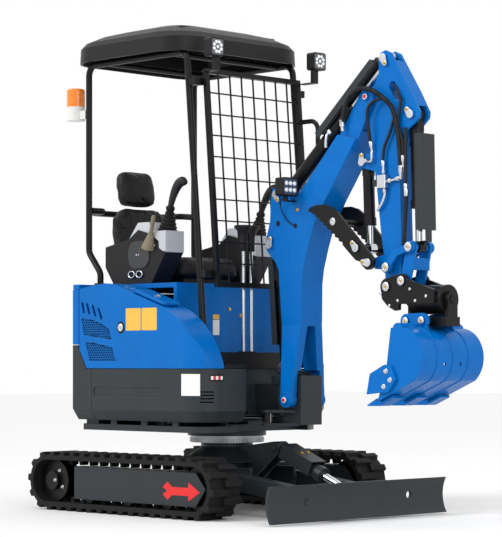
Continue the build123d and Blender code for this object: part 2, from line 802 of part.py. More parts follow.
def skirt(sign):
    with BuildPart() as panel:
        add(tapered_plan(0.0, skirt_high).part)
        add(tapered_plan(skirt_wall, skirt_high).part, mode=Mode.SUBTRACT)
        block((track_x - 700.0, track_x + weight_front + seam), (-600.0, 600.0),
              (skirt_low - 50.0, skirt_high + 50.0),
              mode=Mode.SUBTRACT)
        block((track_x - 700.0, track_x + house_front + 50.0), (-600.0 if sign > 0 else -recess_half,
              recess_half if sign > 0 else 600.0), (skirt_low - 50.0, skirt_high + 50.0),
              mode=Mode.SUBTRACT)
        panel_x, panel_z, panel_length, panel_height = skirt_panel_left if sign > 0 else skirt_panel
        with BuildSketch(side_plane(house_half_width + 1.0 if sign > 0 else 4.0 - house_half_width)) as recess:
            with Locations((track_x + panel_x, panel_z)):
                RectangleRounded(panel_length, panel_height, panel_height / 2 - 1.0)
        extrude(recess.sketch, amount=5.0, mode=Mode.SUBTRACT)
    return panel


with BuildPart() as skirt_right:
    add(skirt(-1).part)
    corner = (track_x + house_front - house_corner, house_corner - house_half_width)
    for z in corner_vent_zs:
        with Locations(Location((corner[0], corner[1], z), (0, 0, corner_vent_turn))):
            with Locations((house_corner, 0, 0)):
                Box(3 * skirt_wall, corner_vent_width, corner_vent_height, mode=Mode.SUBTRACT)
save(skirt_right, "skirt_right")
skirt_left = skirt(1)
save(skirt_left, "skirt_left")

# Painted covers above the skirts


def cover_profile(inset):
    """Side view of the right cover: flat top, sloping fuel-lid shoulder and rounded nose."""
    def at(x, z):
        return (track_x + x, z)
    with BuildSketch(Plane.XZ) as profile:
        with BuildLine():
            rear_top = at(hood_split_x + inset, hood_high - 22.0 - inset)
            crest = at(-150.0, hood_high - inset)
            shoulder = at(lid_rear[0] - 30.0, lid_rear[1] + 10.0 - inset)
            brow = at(lid_front[0] + 20.0, lid_front[1] - 6.4 - inset)
            nose = at(house_front - 2.0 - inset, hood_low)
            foot_rear = at(weight_step_x + 48.0 + 2 * seam + inset, hood_low)
            step_rear = at(hood_split_x + inset, weight_high - 20.0)
            Line(foot_rear, step_rear)
            Line(step_rear, rear_top)
            ThreePointArc(rear_top, at(-240.0, hood_high - 8.0 - inset), crest)
            ThreePointArc(crest, at(-70.0, hood_high - 12.0 - inset), shoulder)
            Line(shoulder, brow)
            ThreePointArc(brow, at(400.0 - inset * 0.7, 830.0 - inset * 0.7), nose)
            Line(nose, foot_rear)
        make_face()
    return profile.sketch


def cover_shape(inset, y_low, y_high):
    with BuildPart() as shape:
        with BuildSketch(Plane.XY.offset(hood_low)):
            house_plan(inset)
        extrude(amount=hood_high - hood_low + 40.0)
        extrude(cover_profile(inset), amount=house_half_width + 10.0, both=True, mode=Mode.INTERSECT)
        block((track_x - 700.0, track_x + 700.0), (y_low + inset, y_high - inset),
              (hood_low - 10.0, hood_high + 60.0),
              mode=Mode.INTERSECT)
    return shape


# Place of the fuel lid, parallel to the shoulder it lies on
lid_from = (track_x + lid_rear[0], lid_rear[1])
lid_to = (track_x + lid_front[0], lid_front[1])
lid_span = length_of(lid_from, lid_to)
lid_slope = degrees(atan2(lid_to[1] - lid_from[1], lid_to[0] - lid_from[0]))
lid_y = -(house_half_width + side_body_y) / 2 - 4.0
lid_plane = Plane(origin=(lid_from[0], lid_y, lid_from[1] + lid_lift),
                  x_dir=(cos(radians(lid_slope)), 0, sin(radians(lid_slope))),
                  z_dir=(-sin(radians(lid_slope)), 0, cos(radians(lid_slope))))


def lid_at(along, up):
    """Side-view point in the lid's own directions."""
    turn = radians(lid_slope)
    return (lid_from[0] + along * cos(turn) - up * sin(turn),
            lid_from[1] + lid_lift + along * sin(turn) + up * cos(turn))


lid_hinge = lid_at(-lid_hinge_back, lid_thickness)


def side_cut(points, depth):
    """A pocket in the right-hand side, from its outline seen from the right."""
    with BuildSketch(side_plane(depth - house_half_width)) as outline:
        Polygon(*[(track_x + x, z) for x, z in points], align=None)
    extrude(outline.sketch, amount=depth + 2.0, mode=Mode.SUBTRACT)


right_inner = cover_shape(hood_wall, -house_half_width - hood_wall, -side_body_y)
with BuildPart() as cover_right:
    add(cover_shape(0.0, -house_half_width, -side_body_y).part)
    add(right_inner.part, mode=Mode.SUBTRACT)
    side_cut(upper_grille, grille_depth)
    side_cut(lower_grille, grille_depth)
    with BuildSketch(side_plane(hood_wall + 2.0 - house_half_width)):
        for top, bottom in vent_slots:
            middle = ((top[0] + bottom[0]) / 2, (top[1] + bottom[1]) / 2)
            turn = degrees(atan2(top[1] - bottom[1], top[0] - bottom[0]))
            with Locations(Location((track_x + middle[0], middle[1], 0), turn)):
                SlotOverall(length_of(top, bottom) + vent_width / 2, vent_width)
    extrude(amount=hood_wall + 4.0, mode=Mode.SUBTRACT)
    cross_cylinder((track_x + lock_point[0], lock_point[1]), lock_radius, -house_half_width - 1.0,
                   -house_half_width + 4.0, mode=Mode.SUBTRACT)
    with Locations(lid_plane.location):
        with Locations((lid_span / 2, 0, -10.0)):
            Cylinder(filler_radius, 12.0, align=(Align.CENTER, Align.CENTER, Align.MIN), mode=Mode.SUBTRACT)
            Cylinder(filler_radius - 8.0, 6.0, align=(Align.CENTER, Align.CENTER, Align.MIN))
    for y in (-38.0, 28.0):
        with BuildSketch(side_plane(lid_y + y + 10.0)):
            with Locations(lid_hinge):
                Circle(lid_knuckle)
            Polygon(lid_at(-lid_hinge_back - lid_knuckle, lid_thickness),
                    lid_at(-lid_hinge_back - lid_knuckle, -6.0),
                    lid_at(-lid_hinge_back + lid_knuckle, -6.0),
                    lid_at(-lid_hinge_back + lid_knuckle, lid_thickness),
                    align=None)
        extrude(amount=10.0)
    cross_cylinder(lid_hinge, lid_pin, lid_y - 38.0, lid_y + 38.0)
save(cover_right, "cover_right")

with BuildPart() as left_inner:
    add(cover_shape(hood_wall, side_body_y, house_half_width + hood_wall).part)
    block((track_x + left_body_front - hood_wall, track_x + 700.0), (0.0, 700.0),
          (hood_low - 10.0, hood_high + 60.0),
          mode=Mode.SUBTRACT)
door_axis = (track_x + weight_step_x, house_half_width + door_hinge_out)
with BuildPart() as cover_left:
    add(cover_shape(0.0, side_body_y, house_half_width).part)
    add(left_inner.part, mode=Mode.SUBTRACT)
    block((track_x + left_body_front, track_x + 700.0), (0.0, 700.0), (hood_low - 10.0, hood_high + 60.0),
          mode=Mode.SUBTRACT)
    for z in door_knuckle_zs:
        for low in (z - face_gap - door_ear, z + door_knuckle_height + face_gap):
            with Locations((door_axis[0], door_axis[1], low)):
                Cylinder(door_knuckle, door_ear, align=(Align.CENTER, Align.CENTER, Align.MIN))
            block((door_axis[0], door_axis[0] + 24.0), (house_half_width - 1.0, door_axis[1] + 4.0),
                  (low, low + door_ear))
        with Locations((door_axis[0], door_axis[1], z - 4.0)):
            Cylinder(door_pin, door_knuckle_height + 8.0, align=(Align.CENTER, Align.CENTER, Align.MIN))
save(cover_left, "cover_left")

deck_z = hood_high - deck_thickness
box_half = side_body_y - seam
with BuildPart() as seat_box:
    with BuildSketch(Plane.XY.offset(deck_z)):
        house_plan(2.0)
    extrude(amount=deck_thickness)
    block((track_x + seat_box_front, track_x + 700.0), (-700.0, 700.0), (deck_z - 5.0, hood_high + 5.0),
          mode=Mode.SUBTRACT)
    for low, high in ((-700.0, -box_half), (box_half, 700.0)):
        block((track_x + weight_step_x, track_x + 700.0), (low, high), (deck_z - 5.0, hood_high + 5.0),
              mode=Mode.SUBTRACT)
    block((track_x + seat_box_front - hood_wall, track_x + seat_box_front), (-box_half, box_half),
          (hood_low, deck_z + 2.0))
save(seat_box, "seat_box")

with BuildPart() as engine_door:
    with BuildSketch(Plane.XY.offset(weight_high + seam)):
        house_plan(0.0)
        house_plan(hood_wall, mode=Mode.SUBTRACT)
    extrude(amount=deck_z - 2.0 - weight_high - seam)
    block((track_x + weight_step_x - seam, track_x + 700.0), (-700.0, 700.0),
          (weight_high - 50.0, hood_high + 60.0),
          mode=Mode.SUBTRACT)
    for z in door_knuckle_zs:
        with Locations((door_axis[0], door_axis[1], z)):
            Cylinder(door_knuckle, door_knuckle_height, align=(Align.CENTER, Align.CENTER, Align.MIN))
        block((door_axis[0] - 24.0, door_axis[0]), (house_half_width - 1.0, door_axis[1] + 4.0),
              (z, z + door_knuckle_height))
        with Locations((door_axis[0], door_axis[1], z)):
            Cylinder(door_pin + pin_fit, door_knuckle_height, align=(Align.CENTER, Align.CENTER, Align.MIN),
                     mode=Mode.SUBTRACT)
save(engine_door, "engine_door")

with BuildPart() as engine_block:
    block((track_x + engine_rear, track_x + engine_front), (-engine_half_width, engine_half_width),
          (deck_high, engine_high))
save(engine_block, "engine_block")

# Fuel lid, with its hinge knuckle
with BuildPart() as fuel_lid:
    with BuildSketch(lid_plane):
        with Locations((lid_span / 2, 0)):
            RectangleRounded(lid_span, lid_width, 20.0)
    extrude(amount=lid_thickness)
    fillet(fuel_lid.faces().sort_by(Axis.Z)[-1].edges(), 5.0)
    with BuildSketch(side_plane(lid_y + 26.0)):
        with Locations(lid_hinge):
            Circle(lid_knuckle)
        Polygon(lid_hinge, lid_at(-lid_hinge_back, lid_thickness - lid_knuckle),
                lid_at(6.0, lid_thickness - lid_knuckle),
                lid_at(6.0, lid_thickness - 1.0), align=None)
    extrude(amount=52.0)
    cross_cylinder(lid_hinge, lid_pin + pin_fit, lid_y - 30.0, lid_y + 30.0, mode=Mode.SUBTRACT)
save(fuel_lid, "fuel_lid")

# Floor with its toe board
floor_low = hood_low
with BuildPart() as floor_plate:
    with BuildSketch(Plane.XY.offset(floor_low)):
        house_plan(0.0)
        with Locations((track_x + floor_front + 200.0, 0)):
            Rectangle(400.0, 2 * recess_half, mode=Mode.SUBTRACT)
        with Locations((track_x + left_body_front + seam - 500.0, 0)):
            Rectangle(1000.0, 1400.0, mode=Mode.SUBTRACT)
        with Locations((track_x, -side_body_y + seam - 300.0)):
            Rectangle(1400.0, 600.0, mode=Mode.SUBTRACT)
        with Locations((track_x + seat_box_front + seam - 500.0, -300.0 + box_half / 2)):
            Rectangle(1000.0, 600.0 + box_half + 2 * seam, mode=Mode.SUBTRACT)
    extrude(amount=floor_thickness)
    block((track_x + floor_front - toe_thickness, track_x + floor_front),
          (-side_body_y + 2 * seam, recess_half),
          (floor_low + floor_thickness - 2.0, floor_low + floor_thickness + toe_height))
save(floor_plate, "floor_plate")

# Seat
with BuildPart() as seat_cushion:
    block((track_x + seat_rear, track_x + seat_front), (-seat_half_width, seat_half_width),
          (seat_low, seat_high))
    fillet(seat_cushion.edges().filter_by(Axis.Z), 45.0)
    fillet(seat_cushion.faces().sort_by(Axis.Z)[-1].edges(), 24.0)
save(seat_cushion, "seat_cushion")
with BuildPart() as seat_base:
    block((track_x + seat_rear + 40.0, track_x + seat_front - 60.0), (-150.0, 150.0),
          (hood_high, seat_low - seat_gap))
    block((track_x + seat_rear - 46.0, track_x + seat_rear + 50.0), (-100.0, 100.0),
          (hood_high, hood_high + 20.0))
    block((track_x + seat_rear - 46.0, track_x + seat_rear - 34.0), (-100.0, 100.0),
          (hood_high, seat_high + 16.0))
save(seat_base, "seat_base")

lean = Plane(origin=(track_x + seat_rear + 2.0, 0, seat_high + 0.4), x_dir=(0, 1, 0),
             z_dir=(cos(radians(back_lean)), 0, sin(radians(back_lean))))
back_height = (back_high - seat_high) / cos(radians(back_lean))
head_step = (head_low - seat_high) / cos(radians(back_lean))
head_height = (head_high - head_low) / cos(radians(back_lean))
with BuildPart() as seat_back:
    with BuildSketch(lean):
        with Locations((0, 24.0 + back_height / 2)):
            RectangleRounded(2 * back_half_width, back_height, 60.0)
    extrude(amount=-back_thickness)
    fillet(seat_back.faces().sort_by(Axis.X)[-1].edges(), 20.0)
save(seat_back, "seat_back")
with BuildPart() as headrest:
    with BuildSketch(lean):
        with Locations((0, 24.0 + head_step + head_height / 2)):
            RectangleRounded(2 * head_half_width, head_height, 34.0)
    extrude(amount=-head_thickness)
    with BuildSketch(lean.offset(-back_thickness * 0.35)):
        for y in (-45.0, 45.0):
            with Locations((y, 24.0 + (back_height + head_step) / 2 + 0.2)):
                Rectangle(14.0, head_step - back_height - 0.4)
    extrude(amount=-14.0)
save(headrest, "headrest")


def console(sign):
    with BuildPart() as pod:
        y_low = min(sign * console_inner, sign * console_outer)
        y_high = max(sign * console_inner, sign * console_outer)
        with BuildSketch(side_plane(y_high)):
            outline = ((console_rear, console_low), (console_foot[0], hood_high),
                       (console_foot[1], hood_high),
                       (console_front, console_box_low), (console_front, console_box_high),
                       (console_box_rear, console_box_high), (console_hump[1], console_high),
                       (console_hump[0], console_high), console_shoulder, (console_rear, console_rear_high))
            Polygon(*[(track_x + x, z) for x, z in outline], align=None)
        extrude(amount=y_high - y_low)
        fillet(pod.edges().filter_by(Axis.Y), 10.0)
    return pod


def joystick(sign):
    y = sign * (console_inner + console_outer) / 2
    top = (track_x + stick_base_x + stick_tip_dx, stick_high)
    base = (track_x + stick_base_x, console_box_high)
    span = length_of(base, top)
    with BuildPart(rod_plane(base, top, y)) as lever:
        with Locations((0, 0, -10.0)):
            Cone(36.0, 14.0, 90.0, align=(Align.CENTER, Align.CENTER, Align.MIN))
        Cylinder(9.0, span - 110.0, align=(Align.CENTER, Align.CENTER, Align.MIN))
        with Locations((0, 0, span - 125.0)):
            Cylinder(19.0, 125.0, align=(Align.CENTER, Align.CENTER, Align.MIN))
    with BuildPart() as trimmed:
        add(lever.part)
        block((base[0] - 100.0, base[0] + 300.0), (y - 100.0, y + 100.0),
              (console_box_high - 100.0, console_box_high),
              mode=Mode.SUBTRACT)
    return trimmed


console_right = console(-1)
save(console_right, "console_right")
console_left = console(1)
save(console_left, "console_left")
with BuildPart() as joysticks:
    add(joystick(-1).part)
    add(joystick(1).part)
save(joysticks, "joysticks")

# Travel levers and pedals on the floor
floor_top = floor_low + floor_thickness
with BuildPart() as travel_levers:
    for y in (-45.0, 5.0):
        block((track_x + 270.0, track_x + 310.0), (y - 15.0, y + 15.0), (floor_top, floor_top + 60.0))
        with Locations((track_x + 290.0, y, floor_top + 30.0)):
            Cylinder(8.0, 560.0, align=(Align.CENTER, Align.CENTER, Align.MIN))
        with Locations((track_x + 290.0, y, floor_top + 520.0)):
            Cylinder(17.0, 120.0, align=(Align.CENTER, Align.CENTER, Align.MIN))
    for y in (-140.0, 120.0):
        block((track_x + 300.0, track_x + 390.0), (y - 35.0, y + 35.0), (floor_top, floor_top + 40.0))
save(travel_levers, "travel_levers")

# Canopy: two bent side tubes, cross tubes and a moulded roof
front_lean_x = post_front_low_x - post_front_top_x
front_foot_z = floor_top


def bent_tube(points, radius, thickness=tube_radius):
    """A round tube along straight runs joined by tangent bends."""
    with BuildPart() as tube:
        with BuildLine() as path:
            FilletPolyline(*points, radius=radius)
        start = path.line @ 0
        with BuildSketch(Plane(origin=start, z_dir=path.line % 0)):
            Circle(thickness)
        sweep()
    return tube


def side_tube(y):
    return bent_tube(((track_x + post_foot_x, y, hood_high), (track_x + post_foot_x, y, hood_high + 60.0),
                      (track_x + post_rear_x, y, post_bend_z), (track_x + post_rear_x, y, tube_top_z),
                      (track_x + post_front_top_x, y, tube_top_z),
                      (track_x + post_front_low_x, y, front_foot_z)), 50.0)


def canopy_side(y):
    with BuildPart() as frame:
        add(side_tube(y).part)
        with Locations((track_x + post_foot_x, y, hood_high)):
            Cylinder(foot_radius, foot_thickness, align=(Align.CENTER, Align.CENTER, Align.MIN))
        with Locations((track_x + post_front_low_x, y, front_foot_z)):
            Cylinder(front_foot_radius, foot_thickness, align=(Align.CENTER, Align.CENTER, Align.MIN))
        block((track_x - 700.0, track_x + 700.0), (-700.0, 700.0), (front_foot_z - 60.0, front_foot_z),
              mode=Mode.SUBTRACT)
    return frame


canopy_tube_right = canopy_side(-post_y)
save(canopy_tube_right, "canopy_tube_right")
canopy_tube_left = canopy_side(post_y)
save(canopy_tube_left, "canopy_tube_left")

cross_end = post_y - tube_radius - face_gap
with BuildPart() as canopy_cross_tubes:
    add(bent_tube(((track_x + post_rear_x, -cross_end, crossbar_z),
                   (track_x + post_rear_x, -crossbar_reach, crossbar_z),
                   (track_x + post_rear_x - crossbar_back, -crossbar_reach + 40.0, crossbar_z),
                   (track_x + post_rear_x - crossbar_back, crossbar_reach - 40.0, crossbar_z),
                   (track_x + post_rear_x, crossbar_reach, crossbar_z),
                   (track_x + post_rear_x, cross_end, crossbar_z)),
                  20.0).part)
    for x in (post_rear_x + 120.0, post_front_top_x - 100.0):
        cross_cylinder((track_x + x, tube_top_z), tube_radius - 2.0, -cross_end, cross_end)
save(canopy_cross_tubes, "canopy_cross_tubes")

roof_length = roof_front_x - roof_rear_x
roof_mid_x = track_x + (roof_front_x + roof_rear_x) / 2


def roof_shape(inset):
    with BuildPart() as shell:
        for low, high in zip(roof_steps, roof_steps[1:]):
            for rise, step in (low, high):
                with BuildSketch(Plane.XY.offset(roof_low + rise - (inset if rise else 0.0))):
                    with Locations((roof_mid_x, 0)):
                        RectangleRounded(roof_length - 2 * (step + inset),
                                         2 * (roof_half_width - step - inset),
                                         max(roof_corner - step * 0.4 - inset, 20.0))
            loft()
    return shell


with BuildPart() as canopy_roof:
    add(roof_shape(0.0).part)
    add(roof_shape(roof_wall).part, mode=Mode.SUBTRACT)
    for x in (post_rear_x + 120.0, post_front_top_x - 100.0):
        block((track_x + x - 20.0, track_x + x + 20.0), (-post_y + 40.0, post_y - 40.0),
              (tube_top_z + tube_radius - 2.0 + face_gap, roof_low + roof_rib_rise))
save(canopy_roof, "canopy_roof")

# Front guard: a framed mesh on four brackets
guard_foot = (track_x + guard_low[0], guard_low[1])
guard_head = (track_x + guard_top[0], guard_top[1])
guard_span = length_of(guard_foot, guard_head)
guard_up = ((guard_head[0] - guard_foot[0]) / guard_span, (guard_head[1] - guard_foot[1]) / guard_span)
guard_plane = Plane(origin=(guard_foot[0], 0, guard_foot[1]), x_dir=(0, 1, 0),
                    z_dir=(guard_up[1], 0, -guard_up[0]))
column_pitch = (2 * guard_half_width - guard_bar) / (guard_columns + 1)
row_pitch = (guard_span - guard_bar) / (guard_rows + 1)
with BuildPart() as front_guard:
    with BuildSketch(guard_plane):
        with Locations((0, guard_span / 2)):
            Rectangle(2 * guard_half_width, guard_span)
            Rectangle(2 * (guard_half_width - guard_bar), guard_span - 2 * guard_bar, mode=Mode.SUBTRACT)
    extrude(amount=guard_bar / 2, both=True)
    with BuildSketch(guard_plane):
        with Locations((0, guard_span / 2)):
            with GridLocations(column_pitch, 1.0, guard_columns, 1):
                Rectangle(guard_wire, guard_span - guard_bar)
            with GridLocations(1.0, row_pitch, 1, guard_rows):
                Rectangle(2 * guard_half_width - guard_bar, guard_wire)
    extrude(amount=guard_wire / 2, both=True)
    handle_y = guard_half_width - guard_bar / 2
    handle_points = []
    for z in (handle_high, handle_low):
        bar_x = guard_foot[0] + guard_up[0] / guard_up[1] * (z - guard_foot[1])
        handle_points.append((bar_x, handle_y, z))
    high, low = handle_points
    add(bent_tube((high, (track_x + handle_reach, handle_y, handle_high),
                   (track_x + handle_reach, handle_y, handle_low),
                   low), 45.0, handle_radius).part)
front_slope = front_lean_x / (tube_top_z - front_foot_z)


def front_post_x(z):
    return track_x + post_front_top_x + front_slope * (tube_top_z - z)


with BuildPart() as guard_brackets:
    for share in (0.06, 0.94):
        x = guard_foot[0] + guard_up[0] * guard_span * share
        z = guard_foot[1] + guard_up[1] * guard_span * share
        post_x = front_post_x(z)
        for sign in (-1, 1):
            y_in = sign * (guard_half_width - 4.0)
            y_out = sign * (post_y + 14.0)
            block((post_x + tube_radius + 2.0, x - guard_bar / 2 - 1.5),
                  (min(y_in, y_out), max(y_in, y_out)),
                  (z - 16.0, z + 16.0))
save(front_guard, "front_guard")
save(guard_brackets, "guard_brackets")

# Work lamps on stalks at the guard's upper corners
with BuildPart() as work_lamps:
    lamp_x = track_x + lamp_reach
    lamp_z = tube_top_z + lamp_rise
    stalk_x = guard_head[0] + guard_bar / 2 + 1.7
    stalk_z = guard_head[1] - 20.0
    for sign in (-1, 1):
        with BuildSketch(Plane.YZ.offset(lamp_x - lamp_depth / 2)):
            with Locations((sign * lamp_y, lamp_z)):
                RectangleRounded(lamp_size, lamp_size, lamp_corner)
        extrude(amount=lamp_depth)
        stalk_y = sorted((sign * (lamp_y - 30.0), sign * (lamp_y + 5.0)))
        block((stalk_x, lamp_x), stalk_y, (stalk_z, stalk_z + 5.0))
        block((lamp_x - 8.0, lamp_x + 8.0), stalk_y, (stalk_z, lamp_z - lamp_size / 2 + 2.0))
save(work_lamps, "work_lamps")

with BuildPart() as beacon_base:
    with Locations((track_x + beacon_x, -post_y, beacon_low)):
        Cylinder(beacon_radius, beacon_mid - beacon_low, align=(Align.CENTER, Align.CENTER, Align.MIN))
    block((track_x + beacon_x + beacon_radius - 8.0, track_x + post_rear_x - tube_radius - face_gap),
          (-post_y - 12.0, -post_y + 12.0), (beacon_low + 4.0, beacon_low + 44.0))
save(beacon_base, "beacon_base")
with BuildPart() as beacon_lens:
    with Locations((track_x + beacon_x, -post_y, beacon_mid)):
        Cylinder(beacon_radius, beacon_high - beacon_mid, align=(Align.CENTER, Align.CENTER, Align.MIN))
    fillet(beacon_lens.edges().group_by(Axis.Z)[-1], 12.0)
save(beacon_lens, "beacon_lens")

# Swing post: a clevis around the house nose, the boom foot's web and the boom cylinder's ears
lug_bottom = nose_low - side_play - post_lug
lug_top = nose_high + side_play + post_lug
ear_top_z = boom_base_pin[1]
with BuildPart() as swing_post:
    for low in (lug_bottom, nose_high + side_play):
        with Locations((kingpin_x, 0, low)):
            Cylinder(post_lug_radius, post_lug, align=(Align.CENTER, Align.CENTER, Align.MIN))
        block((kingpin_x, kingpin_x + post_front), (-post_lug_radius, post_lug_radius),
              (low, low + post_lug))
    block((kingpin_x + post_web_rear, kingpin_x + post_front), (-post_half_width, post_half_width),
          (lug_bottom, lug_top))
    for low in (swing_arm_z - swing_eye_half - ear, swing_arm_z + swing_eye_half):
        with BuildSketch(Plane.XY.offset(low)):
            with Locations(swing_end):
                Circle(28.0)
            Polygon((kingpin_x + post_web_rear, -post_half_width + 10.0),
                    (kingpin_x + post_front - 20.0, -post_half_width + 10.0),
                    (kingpin_x + 20.0, -swing_arm_y - 20.0), (kingpin_x - 10.0, -swing_arm_y + 26.0),
                    align=None)
        extrude(amount=ear)
    for y in (eye_width / 2 + side_play + ear, -eye_width / 2 - side_play):
        with BuildSketch(side_plane(y)):
            with Locations(boom_base_pin):
                Circle(30.0)
            Polygon((boom_base_pin[0] - 28.0, lug_top - 2.0), (boom_base_pin[0] - 28.0, ear_top_z),
                    (boom_base_pin[0] + 28.0, ear_top_z), (kingpin_x + post_front, lug_top - 2.0),
                    align=None)
        extrude(amount=ear)
    cross_cylinder(boom_base_pin, pin_radius, -eye_width / 2 - side_play - ear - 6.0,
                   eye_width / 2 + side_play + ear + 6.0)
    cross_cylinder(foot, foot_pin_radius + pin_fit, -200.0, 200.0, mode=Mode.SUBTRACT)
    with Locations((kingpin_x, 0, lug_bottom)):
        Cylinder(kingpin_radius, lug_top - lug_bottom, align=(Align.CENTER, Align.CENTER, Align.MIN))
save(swing_post, "swing_post")

# Swing cylinder, lying along the right side of the frame
swing_span = hypot(swing_end[0] - swing_base[0], swing_end[1] - swing_base[1])
swing_along = ((swing_end[0] - swing_base[0]) / swing_span, (swing_end[1] - swing_base[1]) / swing_span, 0)
swing_plane = Plane(origin=(swing_base[0], swing_base[1], swing_arm_z), x_dir=(0, 0, 1), z_dir=swing_along)

# Boom: a fork foot, a bent box and a forked head
boom_outline = ((-62.0, 330.0), (-70.0, 408.0), (-84.0, 578.0), (-105.0, 619.0), (-152.0, 664.0),
                (-168.0, 690.0),
                (-160.0, 738.0), (-140.0, 800.0), (-134.0, 905.0), (-124.0, 948.0), (-96.0, 960.0),
                (-66.0, 948.0),
                (-4.0, 892.0), (46.0, 922.0), (166.0, 1046.0), (277.0, 1164.0), (395.0, 1330.0),
                (432.0, 1360.0),
                (470.0, 1340.0), (474.0, 1300.0), (386.0, 1138.0), (203.0, 882.0), (130.0, 770.0),
                (95.0, 675.0),
                (68.0, 585.0), (58.0, 517.0), (56.0, 347.0), (54.0, 330.0))
with BuildPart() as boom:
    with BuildSketch(Plane.XZ):
        Polygon(*[plus(foot, p) for p in boom_outline], align=None)
    extrude(amount=boom_head_half, both=True)
    with BuildSketch(Plane.XZ):
        Polygon(*[plus(foot, p) for p in boom_outline if p[1] < boom_seam_height], align=None)
    extrude(amount=boom_half_width, both=True)
    for sign in (-1, 1):
        with BuildSketch(Plane.XY.offset(foot[1] + prong_high)):
            with Locations((foot[0] + prong_top_shift, sign * (prong_top_inner + boom_half_width) / 2)):
                Rectangle(prong_top_depth, boom_half_width - prong_top_inner)
        with BuildSketch(Plane.XY.offset(foot[1])):
            with Locations((foot[0], sign * (prong_inner + prong_outer) / 2)):
                Rectangle(prong_foot_depth, prong_outer - prong_inner)
        loft()
        cross_cylinder(foot, foot_boss, *sorted((sign * prong_inner, sign * prong_outer)))
    with Locations((foot[0], 0, foot[1])):
        Box(4 * foot_boss, 2 * prong_inner, 2 * fork_clear, mode=Mode.SUBTRACT)
    cross_cylinder(foot, foot_pin_radius, -prong_outer - 8.0, prong_outer + 8.0)
    with BuildSketch(Plane.XZ):
        with Locations(pivot):
            Circle(fork_depth)
    extrude(amount=fork_half, both=True, mode=Mode.SUBTRACT)
    cross_cylinder(pivot, pin_radius, -boom_head_half - 8.0, boom_head_half + 8.0)
    slot_half = eye_width / 2 + side_play
    with BuildSketch(Plane.XZ):
        with Locations(boom_top_pin, arm_base_pin):
            Circle(48.0)
        Polygon(plus(boom_top_pin, (-60.0, -140.0)), plus(boom_top_pin, (44.0, -140.0)),
                plus(boom_top_pin, (48.0, 0.0)), plus(boom_top_pin, (-60.0, 48.0)), align=None)
        Polygon(plus(arm_base_pin, (0.0, -48.0)), plus(arm_base_pin, (160.0, -20.0)),
                plus(arm_base_pin, (160.0, 140.0)),
                plus(arm_base_pin, (-60.0, 60.0)), align=None)
    extrude(amount=slot_half, both=True, mode=Mode.SUBTRACT)
    cross_cylinder(arm_base_pin, pin_radius, -boom_half_width - 8.0, boom_half_width + 8.0)
    cross_cylinder(boom_top_pin, pin_radius, -boom_half_width - 8.0, -slot_half)
    cross_cylinder(boom_top_pin, pin_radius, slot_half, boom_half_width + 8.0)
save(boom, "boom")

with BuildPart() as boom_lamp:
    lamp_point = (track_x + boom_lamp_at[0], boom_lamp_at[1])
    lamp_side = -boom_half_width - face_gap
    lamp_foot = lamp_point[1] - boom_lamp_size[2] / 2
    with BuildSketch(Plane.YZ.offset(lamp_point[0] - boom_lamp_size[0] / 2)):
        with Locations((lamp_side - 4.0 - boom_lamp_size[1] / 2, lamp_point[1])):
            RectangleRounded(boom_lamp_size[1], boom_lamp_size[2], lamp_corner)
    extrude(amount=boom_lamp_size[0])
    strip_x = (lamp_point[0] - lamp_strip / 2, lamp_point[0] + lamp_strip / 2)
    strip_low = lamp_foot - lamp_strip_drop
    block(strip_x, (lamp_side - lamp_strip_reach, lamp_side), (strip_low, strip_low + lamp_strip_wall))
    block(strip_x, (lamp_side - lamp_strip_reach, lamp_side - lamp_strip_reach + lamp_strip_wall),
          (strip_low, lamp_foot + 2.0))
save(boom_lamp, "boom_lamp")

boom_barrel_length = 400.0
boom_barrel = barrel(boom_base_pin, boom_top_pin, 32.0, 17.0, boom_barrel_length, 300.0)
save(boom_barrel, "boom_cylinder_barrel")
boom_rod = piston_rod(boom_base_pin, boom_top_pin, 17.0, boom_barrel_length, 200.0, 27.0)
boom_rod = guarded(boom_rod, rod_guard(boom_base_pin, boom_top_pin, 110.0, 505.0, 38.0, 46.0, 24.0, 515.0))
save(boom_rod, "boom_cylinder_rod")

